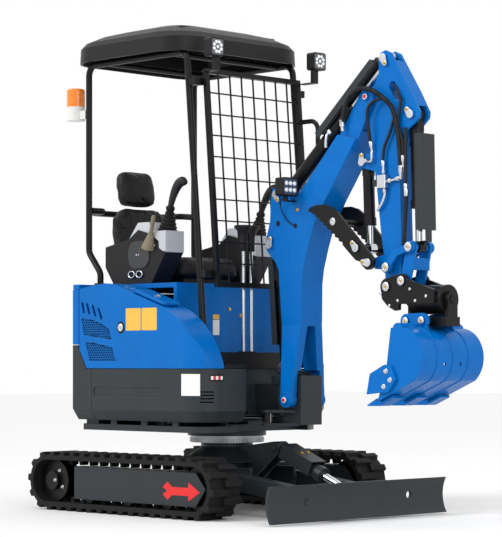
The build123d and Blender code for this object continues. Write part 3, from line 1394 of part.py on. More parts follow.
# Arm, with the link beside it and the rocker outside the link
link_inner = arm_half_width + side_play
link_outer = link_inner + 12.0
rocker_inner = link_outer + 3.0
rocker_outer = rocker_inner + 14.0
arm_outline = ((61.0, 95.0), (61.0, 158.0), (72.0, 184.0), (99.0, 193.0), (128.0, 180.0), (237.0, 11.0),
               (292.0, -84.0),
               (290.0, -110.0), (262.0, -136.0), (224.0, -158.0), (203.0, -192.0), (183.0, -385.0),
               (192.0, -634.0),
               (190.0, -760.0), (178.0, -838.0), (150.0, -866.0), (122.0, -864.0), (102.0, -836.0),
               (96.0, -718.0), (72.0, -576.0), (51.0, -403.0), (36.0, -307.0), (8.0, -122.0),
               (-36.0, -24.0), (-42.0, 6.0), (-30.0, 32.0), (-4.0, 43.0), (30.0, 40.0))
with BuildPart() as arm:
    with BuildSketch(Plane.XZ):
        Polygon(*[plus(pivot, p) for p in arm_outline], align=None)
    extrude(amount=arm_half_width, both=True)
    arm_slot = eye_width / 2 + side_play
    bucket_slot = eye_width / 2 + side_play
    with BuildSketch(Plane.XZ):
        with Locations(bucket_base_pin):
            Circle(46.0)
        Polygon(plus(bucket_base_pin, (-56.0, -130.0)), plus(bucket_base_pin, (80.0, -130.0)),
                plus(bucket_base_pin, (80.0, 46.0)), plus(bucket_base_pin, (-44.0, 20.0)), align=None)
    extrude(amount=bucket_slot, both=True, mode=Mode.SUBTRACT)
    with BuildSketch(Plane.XZ):
        Polygon(plus(pivot, (-60.0, -20.0)), plus(pivot, (10.0, 30.0)), plus(pivot, (150.0, 84.0)),
                plus(pivot, (150.0, 230.0)), plus(pivot, (-60.0, 230.0)), align=None)
    extrude(amount=arm_slot, both=True, mode=Mode.SUBTRACT)
    cross_cylinder(pivot, pin_radius + pin_fit, -60.0, 60.0, mode=Mode.SUBTRACT)
    with BuildSketch(Plane.XZ):
        with Locations(Location((pivot[0] + 154.0, pivot[1] + 13.0, 0), -57.0)):
            SlotCenterToCenter(51.0, 42.0)
    extrude(amount=arm_half_width, both=True, mode=Mode.SUBTRACT)
    for low, high in ((-arm_half_width - 8.0, -arm_slot), (arm_slot, arm_half_width + 8.0)):
        cross_cylinder(arm_top_pin, pin_radius, low, high)
    cross_cylinder(bucket_base_pin, pin_radius, -arm_half_width - 8.0, arm_half_width + 8.0)
    cross_cylinder(tip, pin_radius, -hitch_outer - 6.0, hitch_outer + 6.0)
    cross_cylinder(rocker_pin, pin_radius, -rocker_outer - 6.0, rocker_outer + 6.0)
    for y in (eye_width / 2 + side_play + ear, -eye_width / 2 - side_play):
        with BuildSketch(side_plane(y)):
            with Locations(thumb_pin, thumb_top_pin):
                Circle(26.0)
            Polygon(plus(thumb_pin, (0.0, -26.0)), plus(thumb_pin, (70.0, -30.0)),
                    plus(thumb_pin, (70.0, 40.0)),
                    plus(thumb_pin, (0.0, 26.0)), align=None)
            Polygon(plus(thumb_top_pin, (0.0, -26.0)), plus(thumb_top_pin, (96.0, -50.0)),
                    plus(thumb_top_pin, (90.0, 50.0)), plus(thumb_top_pin, (0.0, 26.0)), align=None)
        extrude(amount=ear)
    cross_cylinder(thumb_pin, pin_radius, -thumb_outer - 4.0, thumb_outer + 4.0)
    cross_cylinder(thumb_top_pin, pin_radius, -eye_width / 2 - side_play - ear - 6.0,
                   eye_width / 2 + side_play + ear + 6.0)
save(arm, "arm")

arm_barrel_length = 545.0
arm_barrel = barrel(arm_base_pin, arm_top_pin, 32.0, 17.0, arm_barrel_length, 470.0)
save(arm_barrel, "arm_cylinder_barrel")
arm_rod = piston_rod(arm_base_pin, arm_top_pin, 17.0, arm_barrel_length, 120.0, 27.0)
arm_rod = guarded(arm_rod, rod_guard(arm_base_pin, arm_top_pin, 335.0, 775.0, 46.0, 46.0, 26.0, 786.0))
save(arm_rod, "arm_cylinder_rod")

bucket_barrel_length = 400.0
bucket_barrel = barrel(bucket_base_pin, rocker_tip, 29.0, 16.0, bucket_barrel_length, 330.0)
save(bucket_barrel, "bucket_cylinder_barrel")
bucket_rod = piston_rod(bucket_base_pin, rocker_tip, 16.0, bucket_barrel_length, 170.0, 26.0)
bucket_rod = guarded(bucket_rod, rod_guard(bucket_base_pin, rocker_tip, 85.0, 495.0, 50.0, 46.0, 28.0,
                                           540.0))
save(bucket_rod, "bucket_cylinder_rod")

# Rocker links beside the arm and the H link to the hitch
with BuildPart() as rocker_links:
    for y in (rocker_outer, -rocker_inner):
        with BuildSketch(side_plane(y)):
            with Locations(rocker_pin, rocker_tip):
                Circle(rocker_boss)
            turn = atan2(rocker_tip[1] - rocker_pin[1], rocker_tip[0] - rocker_pin[0])
            crown = ((rocker_pin[0] + rocker_tip[0]) / 2 - rocker_bow * sin(turn),
                     (rocker_pin[1] + rocker_tip[1]) / 2 + rocker_bow * cos(turn))
            with Locations(crown):
                Circle(rocker_half)
            for end in (rocker_pin, rocker_tip):
                lean_turn = atan2(crown[1] - end[1], crown[0] - end[0])
                across = (-rocker_half * sin(lean_turn), rocker_half * cos(lean_turn))
                Polygon(plus(end, across), plus(crown, across),
                        (crown[0] - across[0], crown[1] - across[1]),
                        (end[0] - across[0], end[1] - across[1]), align=None)
            with Locations(rocker_pin):
                Circle(pin_radius + pin_fit, mode=Mode.SUBTRACT)
        extrude(amount=rocker_outer - rocker_inner)
    for low, high in ((-rocker_outer - 4.0, -eye_width / 2 - 2.0),
                      (eye_width / 2 + 2.0, rocker_outer + 4.0)):
        cross_cylinder(rocker_tip, pin_radius, low, high)
save(rocker_links, "rocker_links")

with BuildPart() as bucket_link:
    for y in (link_outer, -link_inner):
        with BuildSketch(side_plane(y)):
            with Locations(rocker_tip, hitch_pin):
                Circle(27.0)
            link_turn = atan2(hitch_pin[1] - rocker_tip[1], hitch_pin[0] - rocker_tip[0])
            wide = (-27.0 * sin(link_turn), 27.0 * cos(link_turn))
            Polygon(plus(rocker_tip, wide), plus(hitch_pin, wide),
                    (hitch_pin[0] - wide[0], hitch_pin[1] - wide[1]),
                    (rocker_tip[0] - wide[0], rocker_tip[1] - wide[1]), align=None)
            with Locations(rocker_tip):
                Circle(pin_radius + pin_fit, mode=Mode.SUBTRACT)
        extrude(amount=link_outer - link_inner)
    tie = ((rocker_tip[0] + hitch_pin[0]) / 2 + 22.0, (rocker_tip[1] + hitch_pin[1]) / 2)
    block((tie[0] - 8.0, tie[0] + 8.0), (-link_outer, link_outer), (tie[1] - 26.0, tie[1] + 26.0))
save(bucket_link, "bucket_link")

# Tilting hitch
tilt_z = tip[1] - tilt_drop
tilt_from = tip[0] + tilt_rear
tilt_to = tip[0] + tilt_front
with BuildPart() as tilt_hitch:
    for y in (hitch_outer, -hitch_inner):
        with BuildSketch(side_plane(y)):
            with Locations(tip):
                Circle(36.0)
            with Locations(hitch_pin):
                Circle(30.0)
            Polygon((tip[0] - 36.0, tip[1]), (tip[0], tilt_z - 18.0), (tilt_to - 20.0, tilt_z - 18.0),
                    (tilt_to - 20.0, tilt_z + 40.0), (hitch_pin[0] + 28.0, hitch_pin[1] + 8.0),
                    (hitch_pin[0], hitch_pin[1] + 30.0), (tip[0], tip[1] + 36.0), align=None)
            Polygon(*[plus(tip, p) for p in hitch_lobe], align=None)
            with Locations(tip):
                Circle(pin_radius + pin_fit, mode=Mode.SUBTRACT)
        extrude(amount=hitch_outer - hitch_inner)
    with Locations(Location((tilt_from, 0, tilt_z), (0, 90, 0))):
        Cylinder(tilt_radius, tilt_to - tilt_from, align=(Align.CENTER, Align.CENTER, Align.MIN))
    with Locations(Location((tilt_from - tilt_stub, 0, tilt_z), (0, 90, 0))):
        Cylinder(tilt_shaft, tilt_to - tilt_from + 2 * tilt_stub,
                 align=(Align.CENTER, Align.CENTER, Align.MIN))
    with BuildSketch(Plane.XZ):
        with Locations(tip):
            Circle(60.0)
        with Locations(hitch_pin):
            Circle(60.0)
    extrude(amount=hitch_inner, both=True, mode=Mode.SUBTRACT)
    for low, high in ((-hitch_outer - 5.0, -hitch_inner + 4.0), (hitch_inner - 4.0, hitch_outer + 5.0)):
        cross_cylinder(hitch_pin, pin_radius, low, high)
save(tilt_hitch, "tilt_hitch")

head_top = tilt_z - 74.0
head_low_z = head_top - 40.0
ear_inner = 78.0
ear_outer = 92.0
bucket_pin_a = (tip[0] + 126.0, tip[1] - 150.0)
bucket_pin_b = (tip[0] + 214.0, tip[1] - 148.0)
with BuildPart() as hitch_head:
    for x in (tilt_from - 22.0, tilt_to + 2.0):
        with BuildSketch(Plane.YZ.offset(x)):
            with Locations((0, tilt_z)):
                Circle(head_cheek + 4.0)
            Polygon((-head_cheek, tilt_z), (-head_cheek, head_low_z), (head_cheek, head_low_z),
                    (head_cheek, tilt_z),
                    align=None)
            with Locations((0, tilt_z)):
                Circle(tilt_shaft + pin_fit, mode=Mode.SUBTRACT)
        extrude(amount=20.0)
    block((tilt_from - 22.0, tilt_to + 22.0), (-head_half_width_y, head_half_width_y),
          (head_low_z, head_top))
    for p in (bucket_pin_a, bucket_pin_b):
        cross_cylinder(p, 14.0, -ear_outer - 6.0, ear_outer + 6.0)
save(hitch_head, "hitch_head")

# Bucket
def shell_line(inset):
    """Back, belly and lip of the bucket shell, from the top edge to the lip."""
    def at(x, z):
        return plus(tip, (x, z))
    with BuildLine() as line:
        Line(at(135.0, -178.0 - inset), at(200.0, -178.0 - inset))
        ThreePointArc(at(200.0, -178.0 - inset), at(304.0 - inset, -268.0),
                      at(262.0 - inset * 0.6, -402.0 + inset * 0.8))
        Line(at(262.0 - inset * 0.6, -402.0 + inset * 0.8), at(62.0, -487.0 + inset))
    return line.line


with BuildPart() as bucket:
    with BuildSketch(Plane.XZ):
        with BuildLine():
            add(shell_line(0.0))
            Line(plus(tip, (62.0, -487.0)), plus(tip, (62.0, -487.0 + bucket_skin)))
            add(shell_line(bucket_skin))
            Line(plus(tip, (135.0, -178.0 - bucket_skin)), plus(tip, (135.0, -178.0)))
        make_face()
    extrude(amount=bucket_half_width - bucket_skin, both=True)
    with BuildSketch(side_plane(bucket_half_width)):
        with BuildLine():
            add(shell_line(0.0))
            Line(plus(tip, (62.0, -487.0)), plus(tip, (112.0, -335.0)))
            Line(plus(tip, (112.0, -335.0)), plus(tip, (135.0, -178.0)))
        make_face()
    extrude(amount=bucket_skin)
    with BuildSketch(side_plane(-bucket_half_width + bucket_skin)):
        with BuildLine():
            add(shell_line(0.0))
            Line(plus(tip, (62.0, -487.0)), plus(tip, (112.0, -335.0)))
            Line(plus(tip, (112.0, -335.0)), plus(tip, (135.0, -178.0)))
        make_face()
    extrude(amount=bucket_skin)
    for y in (ear_outer, -ear_inner):
        with BuildSketch(side_plane(y)):
            with Locations(bucket_pin_a, bucket_pin_b):
                Circle(32.0)
            Polygon((bucket_pin_a[0], bucket_pin_a[1] + 32.0), (bucket_pin_b[0], bucket_pin_b[1] + 32.0),
                    plus(tip, (256.0, -215.0)), plus(tip, (140.0, -186.0)),
                    (bucket_pin_a[0] - 32.0, bucket_pin_a[1]),
                    align=None)
            with Locations(bucket_pin_a, bucket_pin_b):
                Circle(14.0 + pin_fit, mode=Mode.SUBTRACT)
        extrude(amount=ear_outer - ear_inner)
    for low, high in ((-bucket_half_width, -ear_outer + 1.0), (ear_outer - 1.0, bucket_half_width)):
        cross_cylinder(plus(tip, torque_tube), torque_radius, low, high)
    for y in rib_ys:
        with BuildSketch(side_plane(y + rib_width / 2)):
            with BuildLine():
                add(shell_line(-rib_height))
                Line(plus(tip, (62.0, -487.0 - rib_height)), plus(tip, (62.0, -487.0 + bucket_skin / 2)))
                add(shell_line(bucket_skin / 2))
                Line(plus(tip, (135.0, -178.0 - bucket_skin / 2)), plus(tip, (135.0, -178.0 + rib_height)))
            make_face()
        extrude(amount=rib_width)
    for y in drain_ys:
        with Locations(Location((tip[0] + drain_point[0], y, tip[1] + drain_point[1]), (0, 90, 0))):
            Cylinder(drain_radius, 60.0, mode=Mode.SUBTRACT)
    for y in (bucket_half_width + cutter_plate, -bucket_half_width):
        with BuildSketch(side_plane(y)):
            Polygon(*[plus(tip, p) for p in cutter_outline], align=None)
        extrude(amount=cutter_plate)
save(bucket, "bucket")

with BuildPart() as bucket_teeth:
    for y in tooth_ys:
        with BuildSketch(side_plane(y + tooth_width / 2)):
            Polygon(*[plus(tip, p) for p in tooth_outline], align=None)
        extrude(amount=tooth_width)
save(bucket_teeth, "bucket_teeth")

# Thumb: two side plates that straddle the arm and the boom
thumb_outline = [(37.0, 11.0), (10.0, 39.0), (-49.0, 94.0), (-115.0, 159.0), (-185.0, 229.0),
                 (-219.0, 252.0),
                 (-262.0, 264.0), (-305.0, 264.0), (-343.0, 257.0), (-361.0, 242.0)]
for i in range(serrations):
    for share, drop in ((0.0, 0.0), (0.7, serration_depth)):
        step = (i + share) / serrations
        thumb_outline.append((serration_from[0] + (serration_to[0] - serration_from[0]) * step + 0.7 * drop,
                              serration_from[1] + (serration_to[1] - serration_from[1]) * step + 0.7 * drop))
thumb_outline += [serration_to, (-97.0, 34.0), (-73.0, 13.0), (-43.0, 5.0), (-40.0, -8.0), (-11.0, -30.0),
                  (10.0, -27.0)]
with BuildPart() as thumb:
    for y in (thumb_outer, -thumb_inner):
        with BuildSketch(side_plane(y)):
            Polygon(*[plus(thumb_pin, p) for p in thumb_outline], align=None)
            with Locations(thumb_pin):
                Circle(30.0)
                Circle(pin_radius + pin_fit, mode=Mode.SUBTRACT)
        extrude(amount=thumb_outer - thumb_inner)
    for low, high in ((-thumb_outer - 5.0, -eye_width / 2 - 3.0), (eye_width / 2 + 3.0, thumb_outer + 5.0)):
        cross_cylinder(thumb_low_pin, pin_radius, low, high)
    cross_cylinder(plus(thumb_pin, thumb_stay), stay_radius, -thumb_outer - 4.0, thumb_outer + 4.0)
save(thumb, "thumb")

thumb_barrel_length = 275.0
thumb_barrel = barrel(thumb_top_pin, thumb_low_pin, 25.0, 13.0, thumb_barrel_length, 230.0)
save(thumb_barrel, "thumb_cylinder_barrel")
thumb_rod = piston_rod(thumb_top_pin, thumb_low_pin, 13.0, thumb_barrel_length, 190.0, 24.0)
save(thumb_rod, "thumb_cylinder_rod")

# Swing cylinder pieces
swing_barrel_length = 300.0
with BuildPart(swing_plane) as swing_barrel:
    Cylinder(26.0, 40.0, rotation=(0, 90, 0))
    with Locations((0, 0, 10.0)):
        Cylinder(27.0, swing_barrel_length - 10.0, align=(Align.CENTER, Align.CENTER, Align.MIN))
    with Locations((0, 0, swing_barrel_length - 250.0)):
        Cylinder(14.4, 260.0, align=(Align.CENTER, Align.CENTER, Align.MIN), mode=Mode.SUBTRACT)
    Cylinder(pin_radius + pin_fit, 60.0, rotation=(0, 90, 0), mode=Mode.SUBTRACT)
save(swing_barrel, "swing_cylinder_barrel")
with BuildPart(swing_plane) as swing_rod:
    with Locations((0, 0, swing_barrel_length - 130.0)):
        Cylinder(14.0, swing_span - swing_barrel_length + 130.0 - 12.0,
                 align=(Align.CENTER, Align.CENTER, Align.MIN))
    with Locations((0, 0, swing_span)):
        Cylinder(25.0, 40.0, rotation=(0, 90, 0))
        Cylinder(pin_radius, 60.0, rotation=(0, 90, 0), mode=Mode.SUBTRACT)
save(swing_rod, "swing_cylinder_rod")
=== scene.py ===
import json
import math

import bmesh
import bpy
from mathutils import Matrix, Vector


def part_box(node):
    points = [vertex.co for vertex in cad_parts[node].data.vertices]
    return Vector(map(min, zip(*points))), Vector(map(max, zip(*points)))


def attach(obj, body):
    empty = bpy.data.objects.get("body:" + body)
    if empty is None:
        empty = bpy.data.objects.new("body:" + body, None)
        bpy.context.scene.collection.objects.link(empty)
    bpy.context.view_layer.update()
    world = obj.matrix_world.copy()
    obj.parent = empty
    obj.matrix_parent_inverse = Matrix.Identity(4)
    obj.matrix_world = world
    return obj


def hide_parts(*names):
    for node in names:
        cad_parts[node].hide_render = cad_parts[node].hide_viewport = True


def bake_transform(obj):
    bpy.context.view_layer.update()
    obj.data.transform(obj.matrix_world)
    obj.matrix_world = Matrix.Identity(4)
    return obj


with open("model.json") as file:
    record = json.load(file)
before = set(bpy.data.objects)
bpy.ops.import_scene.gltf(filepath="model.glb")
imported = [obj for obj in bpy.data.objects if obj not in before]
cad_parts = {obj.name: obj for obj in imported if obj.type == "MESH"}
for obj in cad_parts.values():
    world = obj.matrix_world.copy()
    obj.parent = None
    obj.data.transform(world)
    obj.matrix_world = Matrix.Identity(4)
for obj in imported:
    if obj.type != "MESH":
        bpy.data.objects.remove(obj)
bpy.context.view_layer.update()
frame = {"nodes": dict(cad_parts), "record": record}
nodes = frame["nodes"]

# Lengths in this script are millimetres, with x from the middle of the tracks.
# They turn into metres of the shared frame where a mesh is made.
TRACK_X = -435.0
MM = 0.001


def at(x, y, z):
    return Vector((x + TRACK_X, y, z))


# Meshes
class Shape:
    """Points and faces of one piece."""

    def __init__(self):
        self.points = []
        self.faces = []

    def add(self, points, faces):
        start = len(self.points)
        self.points += [Vector(p) for p in points]
        self.faces += [tuple(i + start for i in f) for f in faces]


def place(origin, normal, up=(0, 0, 1)):
    """Matrix whose z axis is normal and whose y axis is as near up as it can be."""
    z = Vector(normal).normalized()
    y = Vector(up) - z * z.dot(Vector(up))
    if y.length < 1e-6:
        y = Vector((1, 0, 0)) - z * z.x
    y.normalize()
    x = y.cross(z)
    m = Matrix((x, y, z)).transposed().to_4x4()
    m.translation = Vector(origin)
    return m


def rings(shape, loops, closed_ends=True):
    """Skin between loops of equal length, with flat ends."""
    n = len(loops[0])
    points = [p for loop in loops for p in loop]
    faces = []
    for k in range(len(loops) - 1):
        for i in range(n):
            j = (i + 1) % n
            faces.append((k * n + i, k * n + j, (k + 1) * n + j, (k + 1) * n + i))
    if closed_ends:
        faces.append(tuple(reversed(range(n))))
        faces.append(tuple(range((len(loops) - 1) * n, len(loops) * n)))
    shape.add(points, faces)


def lathe(shape, m, profile, sides=24):
    """Turned form from (radius, height) points along m's z axis."""
    loops = []
    for radius, height in profile:
        loop = []
        for i in range(sides):
            a = 2 * math.pi * i / sides
            loop.append(m @ Vector((radius * math.cos(a), radius * math.sin(a), height)))
        loops.append(loop)
    rings(shape, loops)


def prism(shape, m, outline, low, high, chamfer=0.0):
    """Extruded outline whose upper edge is drawn in by a chamfer."""
    centre = Vector((sum(p[0] for p in outline), sum(p[1] for p in outline))) / len(outline)
    levels = [(low, 0.0), (high - chamfer, 0.0)]
    if chamfer:
        levels.append((high, chamfer))
    loops = []
    for z, inset in levels:
        loop = []
        for p in outline:
            d = Vector(p) - centre
            q = centre + d * max(1 - inset / max(d.length, 1e-6), 0.05)
            loop.append(m @ Vector((q.x, q.y, z)))
        loops.append(loop)
    rings(shape, loops)


def box(shape, low, high, chamfer=1.0):
    """Block between two corners with chamfered edges."""
    low, high = Vector(low), Vector(high)
    c = min(chamfer, 0.45 * min(high - low))
    loops = []
    for z, inset in ((low.z, c), (low.z + c, 0.0), (high.z - c, 0.0), (high.z, c)):
        x0, x1 = low.x + inset, high.x - inset
        y0, y1 = low.y + inset, high.y - inset
        corners = ((x0 + c, y0), (x1 - c, y0), (x1, y0 + c), (x1, y1 - c),
                   (x1 - c, y1), (x0 + c, y1), (x0, y1 - c), (x0, y0 + c))
        loops.append([Vector((x, y, z)) for x, y in corners])
    rings(shape, loops)


def around(radius, count, start=0.0):
    """Points evenly spaced on a circle about the origin, from a start angle in degrees."""
    angles = [math.radians(360 / count * i + start) for i in range(count)]
    return [(radius * math.cos(a), radius * math.sin(a)) for a in angles]


def rounded(width, height, radius, steps=5):
    """Outline of a rectangle with round corners, about the origin."""
    points = []
    for cx, cy, start in ((1, 1, 0), (-1, 1, 90), (-1, -1, 180), (1, -1, 270)):
        for k in range(steps + 1):
            a = math.radians(start + 90 * k / steps)
            points.append((cx * (width / 2 - radius) + radius * math.cos(a),
                           cy * (height / 2 - radius) + radius * math.sin(a)))
    return points


def smooth_path(points, step=6.0):
    """Evenly close points along a smooth curve through the given ones."""
    pts = [Vector(p) for p in points]
    pts = [pts[0] * 2 - pts[1]] + pts + [pts[-1] * 2 - pts[-2]]
    path = []
    for a, b, c, d in zip(pts, pts[1:], pts[2:], pts[3:]):
        n = max(2, int((c - b).length / step))
        for k in range(n):
            t = k / n
            path.append(0.5 * (2 * b + (c - a) * t + (2 * a - 5 * b + 4 * c - d) * t * t
                               + (3 * b - a - 3 * c + d) * t ** 3))
    path.append(pts[-2])
    return path


def frames_along(path):
    """Side and upward directions carried along a path without twist."""
    found = []
    side = None
    for i, p in enumerate(path):
        ahead = path[min(i + 1, len(path) - 1)] - path[max(i - 1, 0)]
        t = ahead.normalized()
        if side is None:
            side = t.orthogonal().normalized()
        side = (side - t * t.dot(side)).normalized()
        found.append((p, side, t.cross(side)))
    return found


def tube(shape, points, radius, sides=12, step=6.0, smooth=True):
    """Round hose or pipe along a path; radius may be a function of the share along it."""
    path = smooth_path(points, step) if smooth else [Vector(p) for p in points]
    loops = []
    for k, (p, u, v) in enumerate(frames_along(path)):
        r = radius(k / (len(path) - 1)) if callable(radius) else radius
        loops.append([p + (u * math.cos(a) + v * math.sin(a)) * r
                      for a in (2 * math.pi * i / sides for i in range(sides))])
    rings(shape, loops)


def coil(shape, points, radius, wire, pitch, sides=6, turn_steps=14):
    """Round wire wound about a path."""
    path = smooth_path(points, pitch / turn_steps)
    wound = []
    length = 0.0
    for k, (p, u, v) in enumerate(frames_along(path)):
        if k:
            length += (p - path[k - 1]).length
        a = 2 * math.pi * length / pitch
        wound.append(p + (u * math.cos(a) + v * math.sin(a)) * radius)
    tube(shape, wound, wire, sides, smooth=False)


def bolt(shape, where, normal, size=7.0):
    """Washer and hexagon head."""
    m = place(where, normal)
    lathe(shape, m, ((size * 1.25, -0.5), (size * 1.25, size * 0.2), (size * 1.1, size * 0.28)), 18)
    prism(shape, m, around(size, 6), size * 0.2, size * 0.95, size * 0.18)


def screw(shape, where, normal, size=5.0):
    """Domed screw head with a round socket."""
    m = place(where, normal)
    lathe(shape, m, ((size, -0.5), (size, size * 0.25), (size * 0.85, size * 0.5), (size * 0.5, size * 0.6),
                     (size * 0.42, size * 0.2)), 18)


def piece(name, shape, body, look, sharp=38.0):
    """Blender object that rides on a body."""
    mesh = bpy.data.meshes.new(name)
    mesh.from_pydata([p * MM for p in shape.points], [], shape.faces)
    bm = bmesh.new()
    bm.from_mesh(mesh)
    bmesh.ops.recalc_face_normals(bm, faces=bm.faces)
    bm.to_mesh(mesh)
    bm.free()
    mesh.shade_smooth()
    mesh.set_sharp_from_angle(angle=math.radians(sharp))
    mesh.materials.append(look)
    obj = bpy.data.objects.new(name, mesh)
    bpy.context.scene.collection.objects.link(obj)
    if body:
        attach(obj, body)
    return obj


# Materials
def linear(r, g, b):
    """Linear colour from 0-255 screen values."""
    return tuple((c / 255 / 12.92) if c <= 10 else ((c / 255 + 0.055) / 1.055) ** 2.4 for c in (r, g, b))


def finish(name, colour, rough, metal=0.0, vary=0.08, scale=9.0, grain=260.0, bump=0.06, edge=0.0,
           edge_highlight=None, coat=0.0, stretch=None, cells=False, specular=0.5, distance=0.0004):
    """Procedural finish: mottled colour, uneven gloss, fine relief, rounded edges with a painted highlight
    along them.
    """
    mat = bpy.data.materials.new(name)
    mat.use_nodes = True
    tree = mat.node_tree
    shader = tree.nodes["Principled BSDF"]
    shader.inputs["Metallic"].default_value = metal
    shader.inputs["Specular IOR Level"].default_value = specular
    shader.inputs["Coat Weight"].default_value = coat
    shader.inputs["Coat Roughness"].default_value = 0.08

    def node(kind, **values):
        made = tree.nodes.new(kind)
        for key, value in values.items():
            made.inputs[key].default_value = value
        return made

    def link(a, b):
        tree.links.new(a, b)

    coords = tree.nodes.new("ShaderNodeTexCoord")
    source = coords.outputs["Object"]
    if stretch:
        mapping = tree.nodes.new("ShaderNodeMapping")
        mapping.inputs["Scale"].default_value = stretch
        link(source, mapping.inputs["Vector"])
        source = mapping.outputs["Vector"]
    blotch = node("ShaderNodeTexNoise", Scale=scale, Detail=4.0, Roughness=0.6)
    link(source, blotch.inputs["Vector"])
    ramp = tree.nodes.new("ShaderNodeValToRGB")
    for k, share in ((0, 1 - vary), (1, 1 + vary)):
        ramp.color_ramp.elements[k].position = (0.3, 0.7)[k]
        ramp.color_ramp.elements[k].color = (*[min(c * share, 1.0) for c in colour], 1.0)
    link(blotch.outputs["Fac"], ramp.inputs["Fac"])
    tint = ramp.outputs["Color"]
    normal = None
    if edge:
        bevel = tree.nodes.new("ShaderNodeBevel")
        bevel.samples = 4
        bevel.inputs["Radius"].default_value = edge
        normal = bevel.outputs["Normal"]
        # A lighter colour along the edges: painted highlight.
        if edge_highlight:
            geometry = tree.nodes.new("ShaderNodeNewGeometry")
            across = tree.nodes.new("ShaderNodeVectorMath")
            across.operation = "DOT_PRODUCT"
            link(normal, across.inputs[0])
            link(geometry.outputs["Normal"], across.inputs[1])
            mask = node("ShaderNodeMapRange")
            mask.inputs["From Min"].default_value = 0.995
            mask.inputs["From Max"].default_value = 0.9
            mask.inputs["To Max"].default_value = 0.35
            link(across.outputs["Value"], mask.inputs["Value"])
            mix = tree.nodes.new("ShaderNodeMix")
            mix.data_type = "RGBA"
            colours = {socket.name: socket for socket in mix.inputs if socket.type == "RGBA"}
            colours["B"].default_value = (*edge_highlight, 1.0)
            link(mask.outputs["Result"], mix.inputs["Factor"])
            link(tint, colours["A"])
            tint = [socket for socket in mix.outputs if socket.type == "RGBA"][0]
    link(tint, shader.inputs["Base Color"])
    smear = node("ShaderNodeTexNoise", Scale=scale * 4.0, Detail=3.0)
    link(source, smear.inputs["Vector"])
    gloss = node("ShaderNodeMapRange")
    gloss.inputs["To Min"].default_value = max(rough - 0.07, 0.02)
    gloss.inputs["To Max"].default_value = min(rough + 0.09, 1.0)
    link(smear.outputs["Fac"], gloss.inputs["Value"])
    link(gloss.outputs["Result"], shader.inputs["Roughness"])
    if cells:
        relief = node("ShaderNodeTexVoronoi", Scale=grain)
        height = relief.outputs["Distance"]
    else:
        relief = node("ShaderNodeTexNoise", Scale=grain, Detail=2.0)
        height = relief.outputs["Fac"]
    link(source, relief.inputs["Vector"])
    raised = tree.nodes.new("ShaderNodeBump")
    raised.inputs["Strength"].default_value = bump
    raised.inputs["Distance"].default_value = distance
    link(height, raised.inputs["Height"])
    if normal:
        link(normal, raised.inputs["Normal"])
    link(raised.outputs["Normal"], shader.inputs["Normal"])
    return mat


# The lighter edge colour given to a finish is a painted highlight along its edges.
looks = {
    "blue_paint": finish("blue paint", linear(0, 97, 174), 0.26, vary=0.05, edge=0.003, specular=0.12,
                         edge_highlight=linear(40, 132, 210)),
    "grey_paint": finish("slate paint", linear(36, 42, 46), 0.4, vary=0.09, edge=0.003, specular=0.3,
                         edge_highlight=linear(92, 101, 108)),
    "black_paint": finish("black paint", linear(13, 13, 14), 0.36, vary=0.12, edge=0.002, specular=0.22,
                          edge_highlight=linear(44, 45, 47)),
    "chrome_rod": finish("chrome", linear(205, 208, 212), 0.12, metal=1.0, vary=0.05, stretch=(1, 1, 6),
                         bump=0.02),
    "bare_steel": finish("steel", linear(150, 153, 157), 0.32, metal=1.0, vary=0.12, stretch=(1, 1, 14),
                         grain=90.0),
    "track_rubber": finish("track rubber", linear(20, 20, 22), 0.7, vary=0.22, scale=26.0, grain=420.0,
                           bump=0.25, edge=0.003, specular=0.22, edge_highlight=linear(52, 53, 55)),
    "black_plastic": finish("black plastic", linear(15, 15, 17), 0.44, vary=0.1, grain=900.0, bump=0.16,
                            edge=0.003, specular=0.25),
    "console_plastic": finish("console plastic", linear(17, 17, 19), 0.42, vary=0.1, grain=900.0, bump=0.1,
                              edge=0.006, specular=0.25),
    "seat_vinyl": finish("seat vinyl", linear(19, 19, 21), 0.48, vary=0.14, grain=520.0, bump=0.35,
                         cells=True, specular=0.25, distance=0.0006),
    "beacon_white": finish("beacon white", linear(214, 213, 209), 0.3, vary=0.03, edge=0.002),
    "beacon_amber": finish("beacon amber", linear(236, 126, 12), 0.14, vary=0.12, scale=30.0, coat=0.5,
                           bump=0.2, grain=160.0),
}
gold = finish("zinc gold", linear(206, 170, 92), 0.3, metal=1.0, vary=0.2, scale=60.0)
hose_rubber = finish("hose rubber", linear(17, 17, 18), 0.5, specular=0.3, vary=0.15, scale=60.0, grain=700.0,
                     bump=0.25)
spring_steel = finish("spring wrap", linear(46, 47, 50), 0.4, metal=0.6, vary=0.2, scale=60.0)
aluminium = finish("aluminium", linear(206, 209, 213), 0.28, metal=1.0, vary=0.08, grain=500.0, bump=0.1,
                   edge=0.002)
red_paint = finish("red paint", linear(214, 20, 24), 0.4, vary=0.06, scale=30.0)
yellow_film = finish("yellow film", linear(222, 172, 62), 0.4, vary=0.04, scale=40.0)
white_film = finish("white film", linear(222, 222, 222), 0.4, vary=0.03, scale=40.0)
# Black rubber for seals, boots and wires; also the painted shade behind the grille and in the boom's hole.
black_seal_and_shade = finish("seal rubber and painted shade", linear(11, 11, 12), 0.6, specular=0.25, vary=0.15, scale=80.0)
grip_black = finish("grip rubber", linear(24, 25, 27), 0.46, specular=0.35, vary=0.12, scale=50.0,
                    grain=800.0, bump=0.3)
tan_rubber = finish("tan boot", linear(118, 108, 88), 0.6, vary=0.12, scale=50.0, grain=700.0, bump=0.2)
led_white = finish("led", linear(250, 250, 246), 0.12, vary=0.03, scale=90.0, coat=0.6)
lens_glass = finish("lamp lens", linear(70, 74, 80), 0.1, vary=0.3, scale=160.0, coat=0.8)
silver_plastic = finish("silver plastic", linear(178, 182, 187), 0.36, vary=0.04, grain=900.0, bump=0.1,
                        edge=0.006)
plate_grey = finish("plate grey", linear(40, 41, 43), 0.5, vary=0.1, grain=900.0, bump=0.15)

